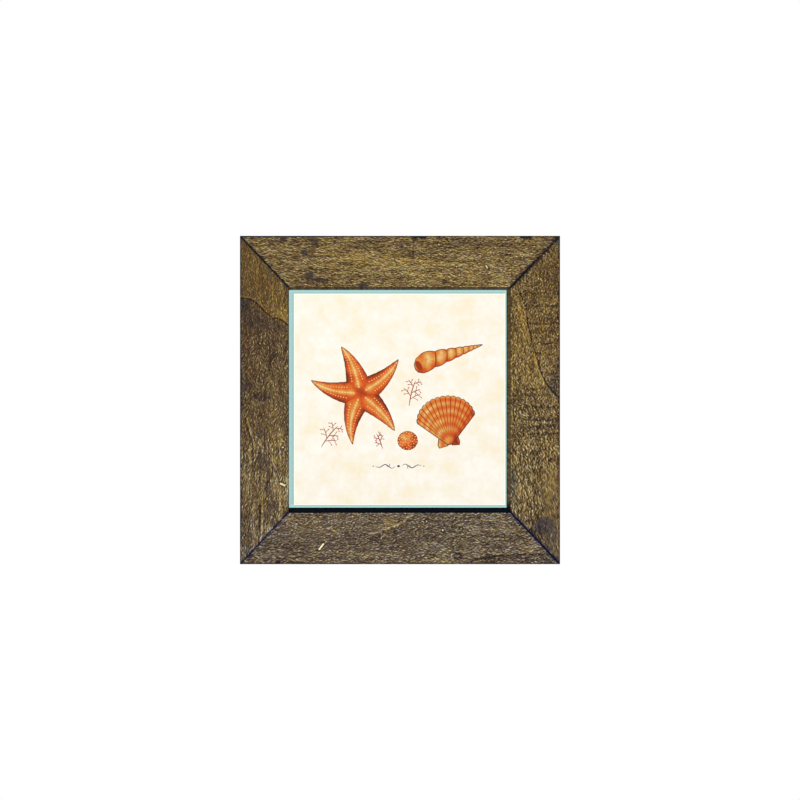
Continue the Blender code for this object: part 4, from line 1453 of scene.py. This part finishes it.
def turret_sutures():
    shapes = []
    for edge in turret_edges()[1:-1]:
        half = turret_half(np.array([edge]))[0]
        t = np.linspace(-1, 1, 9)
        sag = 0.9 * half / TURRET["width"] * (1 - t * t)
        line = np.stack([edge * TURRET["length"] + turret_lean(t * half) + sag, t * half * 0.98], -1)
        shapes.append(stroke(turned(line, TURRET["turn"], TURRET["middle"]), 0.95 * (1.2 - edge), 0.5))
    return shapes


def turret_mouth():
    x, z = turned([(-2.6, -1.4)], TURRET["turn"], TURRET["middle"])[0]
    return oval(x, z, 2.6, 5.0, TURRET["turn"] + 14, 16)


# The urchin's middle and its radius
URCHIN = (7.5, -38.5, 9.5)


def urchin_colour(x, z):
    cx, cz, radius = URCHIN
    off = np.hypot(x - cx + 2.6, z - cz - 2.6) / radius
    ray = np.cos(5 * np.arctan2(z - cz, x - cx) + 0.4)
    share = 0.86 - 0.50 * off + 0.12 * ray + 0.08 * noise(x / 1.6, z / 1.6, 931)
    return shell_tint(np.clip(share, 0, 1))


def urchin_dots():
    cx, cz, radius = URCHIN
    shapes = []
    for ray in range(10):
        for step in range(1, 6):
            turn = 2 * np.pi * (ray + 0.25 * (1 if step % 2 else -1)) / 10
            out, dot = radius * np.sin(step * 0.25), 0.32 + 0.05 * step
            shapes.append(oval(cx + out * math.cos(turn), cz + out * math.sin(turn), dot, dot, 0, 6))
    return shapes


# Each frond's foot, its heading in degrees, its length and its forks
SPRIGS = [((-73.0, -44.5), 60.0, 25.0, 5), ((-16.0, -46.0), 104.0, 15.0, 4), ((9.0, -6.0), 84.0, 24.0, 5)]


def sprig(start, heading, length, forks, shapes, rank=0, seed=0):
    """A branching frond: each stem bends, forks on alternate sides and ends in a bud."""
    bend = (18 if seed % 2 else -18) * (1 + 0.4 * rank)
    turn = np.radians(heading + bend * np.linspace(0, 1, 9))
    stem = np.array(start) + np.concatenate([[(0, 0)], np.cumsum(
        np.stack([np.cos(turn), np.sin(turn)], -1)[:-1] * length / 8, axis=0)])
    shapes.append(stroke(stem, 0.95 - 0.22 * rank, 0.45))
    if rank == 2 or forks == 0:
        shapes.append(oval(stem[-1][0], stem[-1][1], 0.75, 0.5, heading + bend, 6))
        return
    for k in range(forks):
        at = 2 + round(k * 6 / forks)
        side = 1 if (k + seed) % 2 else -1
        twig, fewer = length * (0.46 - 0.04 * k), forks - 2 if forks > 3 else 0
        sprig(tuple(stem[at]), heading + bend * at / 8 + side * 42, twig, fewer, shapes, rank + 1, seed + k)


def flourish():
    """A small ornament low on the sheet: tapered swashes about a diamond."""
    x0, z0 = -1.0, -62.3
    shapes = [np.array([(x0 - 1.7, z0), (x0, z0 - 1.3), (x0 + 1.7, z0), (x0, z0 + 1.3)])]
    for way in (-1, 1):
        t = np.linspace(0, 1, 26)
        rise = 2.1 * np.sin(3 * np.pi * t) * (1 - 0.55 * t)
        shapes.append(stroke(np.stack([x0 + way * (3.2 + 18.6 * t), z0 + way * rise], -1), 0.85, 0.1))
        curl = np.linspace(0, 1.5 * np.pi, 16)
        out = 2.0 * (1 - curl / 9)
        swash = np.stack([x0 + way * (9.4 + out * np.cos(curl)), z0 - way * (1.2 - out * np.sin(curl))], -1)
        shapes.append(stroke(swash, 0.5, 0.2))
        shapes.append(oval(x0 + way * 23.6, z0, 0.6, 0.6, 0, 6))
    return shapes


# The colours that change over a motif, which then needs places within it as well as round it
SHADED = (star_colour, scallop_colour, turret_colour, urchin_colour)


def plate_shapes():
    """Everything on the plate, from the back to the front: an outline and its colour."""
    line = plain(INK_LINE)
    fronds = []
    for seed, (start, heading, length, forks) in enumerate(SPRIGS):
        sprig(start, heading, length, forks, fronds, 0, seed)
    shapes = [(shape, plain(INK_DEEP)) for shape in fronds]
    for thin, colour in ((0.0, line), (HAIRLINE, scallop_colour)):
        shapes += [(ear, colour) for ear in scallop_ears(thin)]
    shapes += [(scallop_outline(0.0), line), (scallop_outline(HAIRLINE), scallop_colour)]
    shapes += [(groove, plain(INK_DEEP)) for groove in scallop_grooves()]
    shapes += [(star_outline(0.0), line), (star_outline(HAIRLINE), star_colour)]
    shapes += [(bump, plain(INK_PALE)) for bump in star_bumps()]
    shapes += [(turret_outline(0.0), line), (turret_outline(HAIRLINE), turret_colour)]
    shapes += [(turret_mouth(), plain(INK_DEEP))]
    shapes += [(suture, line) for suture in turret_sutures()]
    cx, cz, radius = URCHIN
    for thin, colour in ((0.0, line), (HAIRLINE, urchin_colour)):
        shapes.append((oval(cx, cz, radius - thin, radius * 0.94 - thin, 0, 44), colour))
    shapes += [(dot, plain(INK_PALE)) for dot in urchin_dots()]
    shapes += [(swash, plain(INK_GREY)) for swash in flourish()]
    return shapes


def inside_outline(points, outline):
    """Which points lie within a closed outline."""
    x, z = points[:, 0], points[:, 1]
    found = np.zeros(len(points), bool)
    low, high = outline.min(0), outline.max(0)
    near = np.flatnonzero((x >= low[0]) & (x <= high[0]) & (z >= low[1]) & (z <= high[1]))
    if not len(near):
        return found
    x, z = x[near][:, None], z[near][:, None]
    a, b = outline, np.roll(outline, -1, 0)
    crosses = (a[:, 1] > z) != (b[:, 1] > z)
    rise = np.where(b[:, 1] == a[:, 1], 1e-9, b[:, 1] - a[:, 1])
    at = a[:, 0] + (z - a[:, 1]) * (b[:, 0] - a[:, 0]) / rise
    found[near] = (crosses & (x < at)).sum(1) % 2 == 1
    return found


# Spacing of the places on the bare paper and within a motif, how many steps each side of the leaf has, from
# what size a shape is filled, and how deep the paper cockles, in mm
PAPER_GRID = 5.0
SHAPE_GRID = 1.25
SIDE_STEPS = 40
FILLED_FROM = 6.0
COCKLE = 0.06
PAPER_CREASE = math.radians(40)


def lattice(low, high, step, seed):
    """Places a step apart in staggered rows, each a little astray."""
    xs, zs = np.meshgrid(np.arange(low[0] + step / 2, high[0], step),
                         np.arange(low[1] + step / 2, high[1], step * 0.87))
    xs = xs + step / 2 * (np.arange(len(zs)) % 2)[:, None]
    row, column = np.indices(xs.shape)
    xs = xs + 0.3 * step * (hashed(row, column, seed) - 0.5)
    zs = zs + 0.3 * step * (hashed(row, column, seed + 1) - 0.5)
    found = np.stack([xs.ravel(), zs.ravel()], -1)
    return found[found[:, 0] < high[0] - step / 4]


def cut_leaf(half, shapes):
    """Triangles over the whole leaf, with an edge along every outline, and the shape that each lies in."""
    points, edges = [], []

    def add_ring(ring):
        start = len(points)
        points.extend(Vector(p) for p in ring)
        edges.extend((start + k, start + (k + 1) % len(ring)) for k in range(len(ring)))

    steps = np.linspace(-1, 1, SIDE_STEPS + 1)[:-1]
    border = [(x * half[0], -half[1]) for x in steps] + [(half[0], z * half[1]) for z in steps]
    add_ring(border + [(-x, -z) for x, z in border])
    for outline, _ in shapes:
        add_ring(outline)
    for outline, colour in shapes:
        low, high = outline.min(0), outline.max(0)
        if (high - low).min() > FILLED_FROM and colour in SHADED:
            fill = lattice(low, high, SHAPE_GRID, 940)
            points.extend(Vector(p) for p in fill[inside_outline(fill, outline)])
    points.extend(Vector(p) for p in lattice((-half[0], -half[1]), half, PAPER_GRID, 950))
    corners, _, faces, *_ = delaunay_2d_cdt(points, edges, [], 0, 1e-4)
    corners, faces = np.array([tuple(c) for c in corners]), np.array(faces)
    centres = corners[faces].mean(1)
    owner = np.full(len(faces), -1)
    for k, (outline, _) in enumerate(shapes):
        owner[inside_outline(centres, outline)] = k
    return corners, faces, owner, len(border) * 2


def printed_sheet(paper):
    """The print as one closed leaf, its front cut along every outline so that each ink has a sharp edge."""
    middle, half = (SHEET_LOW + SHEET_HIGH) / 2, (SHEET_HIGH - SHEET_LOW) / 2 / MM
    shapes = plate_shapes()
    corners, faces, owner, rim = cut_leaf((half.x, half.z), shapes)
    x, z = corners[:, 0], corners[:, 1]
    to_edge = np.minimum(half.x - abs(x), half.z - abs(z))
    sunk = COCKLE * (0.5 + 0.5 * noise(x / 42, z / 30, 960)) * smooth(0.5, 8.0, to_edge)
    front = np.stack([middle.x + x * MM, SHEET_LOW.y + sunk * MM, middle.z + z * MM], -1)
    back = front[:rim].copy()
    back[:, 1] = SHEET_HIGH.y
    ring, behind = np.arange(rim), len(front) + np.arange(rim)
    sides = np.stack([ring, np.roll(ring, -1), np.roll(behind, -1), behind], -1)
    obj = mesh_object("printed_leaf", front.tolist() + back.tolist(),
                      faces.tolist() + sides.tolist() + [behind[::-1].tolist()])
    face_outward(obj.data)

    mesh = obj.data
    sizes, vertex = np.empty(len(mesh.polygons), int), np.empty(len(mesh.loops), int)
    mesh.polygons.foreach_get("loop_total", sizes)
    mesh.loops.foreach_get("vertex_index", vertex)
    shape_of = np.repeat(np.concatenate([owner, np.full(len(sizes) - len(owner), -1)]), sizes)
    ink = np.ones((len(vertex), 4))
    paper_light = screen_to_light(PAPER)
    for k, (_, colour) in enumerate(shapes):
        here = np.flatnonzero(shape_of == k)
        if len(here):
            at = vertex[here]
            ink[here, :3] = np.clip(screen_to_light(colour(x[at], z[at])) / paper_light, 0, 1)
    layer = mesh.color_attributes.new("ink", "FLOAT_COLOR", "CORNER")
    layer.data.foreach_set("color", ink.astype(np.float32).ravel())
    obj.data.materials.append(paper)
    obj.data.shade_smooth()
    obj.data.set_sharp_from_angle(angle=PAPER_CREASE)
    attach(obj, "root")
    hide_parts("print_sheet")


def dress_solids(names, made_of):
    for name in names:
        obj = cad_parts[name]
        obj.data.materials.clear()
        obj.data.materials.append(made_of)


def set_stage():
    reach, low = FLOOR_REACH, BOTTOM - FLOOR_BELOW
    corners = [(-reach, -reach, low), (reach, -reach, low), (reach, reach, low), (-reach, reach, low)]
    floor = mesh_object("floor", corners, [(0, 1, 2, 3)])
    made, _, shader = new_material("pale_floor", 0.9, specular=0.1)
    shader["Base Color"].default_value = (0.93, 0.93, 0.93, 1)
    floor.data.materials.append(made)


WORLD_LIGHT = 0.575
# Each lamp's name, its place from the picture's middle, its power and its side, in metres and watts
LAMPS = [("key", (-0.6, -1.4, 0.8), 12.2, 0.7), ("fill", (0.8, -1.5, -0.1), 5.6, 1.2),
         ("behind", (0.6, 1.3, 0.8), 12.2, 1.0)]


def set_light():
    world = bpy.data.worlds.new("white_studio")
    bpy.context.scene.world = world
    world.use_nodes = True
    nodes = Tree(world.node_tree)
    backdrop = world.node_tree.nodes["Background"]
    backdrop.inputs["Color"].default_value = (1, 1, 1, 1)
    seen = nodes.add("ShaderNodeLightPath").outputs["Is Camera Ray"]
    nodes.feed(backdrop.inputs["Strength"], nodes.between(seen, 0.0, 1.0, WORLD_LIGHT, 1.0))
    middle = Vector((0, FRONT, MIDDLE_Z))
    for name, place, power, size in LAMPS:
        lamp = bpy.data.lights.new(name, "AREA")
        lamp.energy = power
        lamp.size = size
        obj = bpy.data.objects.new(name + "_light", lamp)
        obj.location = middle + Vector(place)
        obj.rotation_euler = (middle - obj.location).to_track_quat("-Z", "Y").to_euler()
        bpy.context.scene.collection.objects.link(obj)


def set_camera():
    lens = bpy.data.cameras.new("portrait_lens")
    lens.lens = LENS
    lens.sensor_width = SENSOR
    camera = bpy.data.objects.new("camera", lens)
    distance = PIXEL * PICTURE_SIDE * LENS / SENSOR
    camera.location = (0.0, FRONT - distance, MIDDLE_Z)
    camera.rotation_euler = (math.radians(90), 0, 0)
    bpy.context.scene.collection.objects.link(camera)
    bpy.context.scene.camera = camera


def main():
    view = bpy.context.scene.view_settings
    view.view_transform = "Standard"
    view.look = "None"
    set_camera()
    set_light()
    set_stage()
    mottle, fibres = mottle_group(), fibre_group()
    wood, steel = stained_wood(fibres, mottle), zinc_steel(mottle)
    for side in RAILS:
        stained_rail(side, wood)
    dress_solids(["picture_panel"], painted_board(mottle))
    printed_sheet(printed_paper(mottle))
    metal = [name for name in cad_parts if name.startswith(("corner_nail", "hanger_pin", "sawtooth"))]
    dress_solids(metal, steel)
    dress_solids(["wall_bumper_left", "wall_bumper_right"], grey_rubber(mottle))


main()
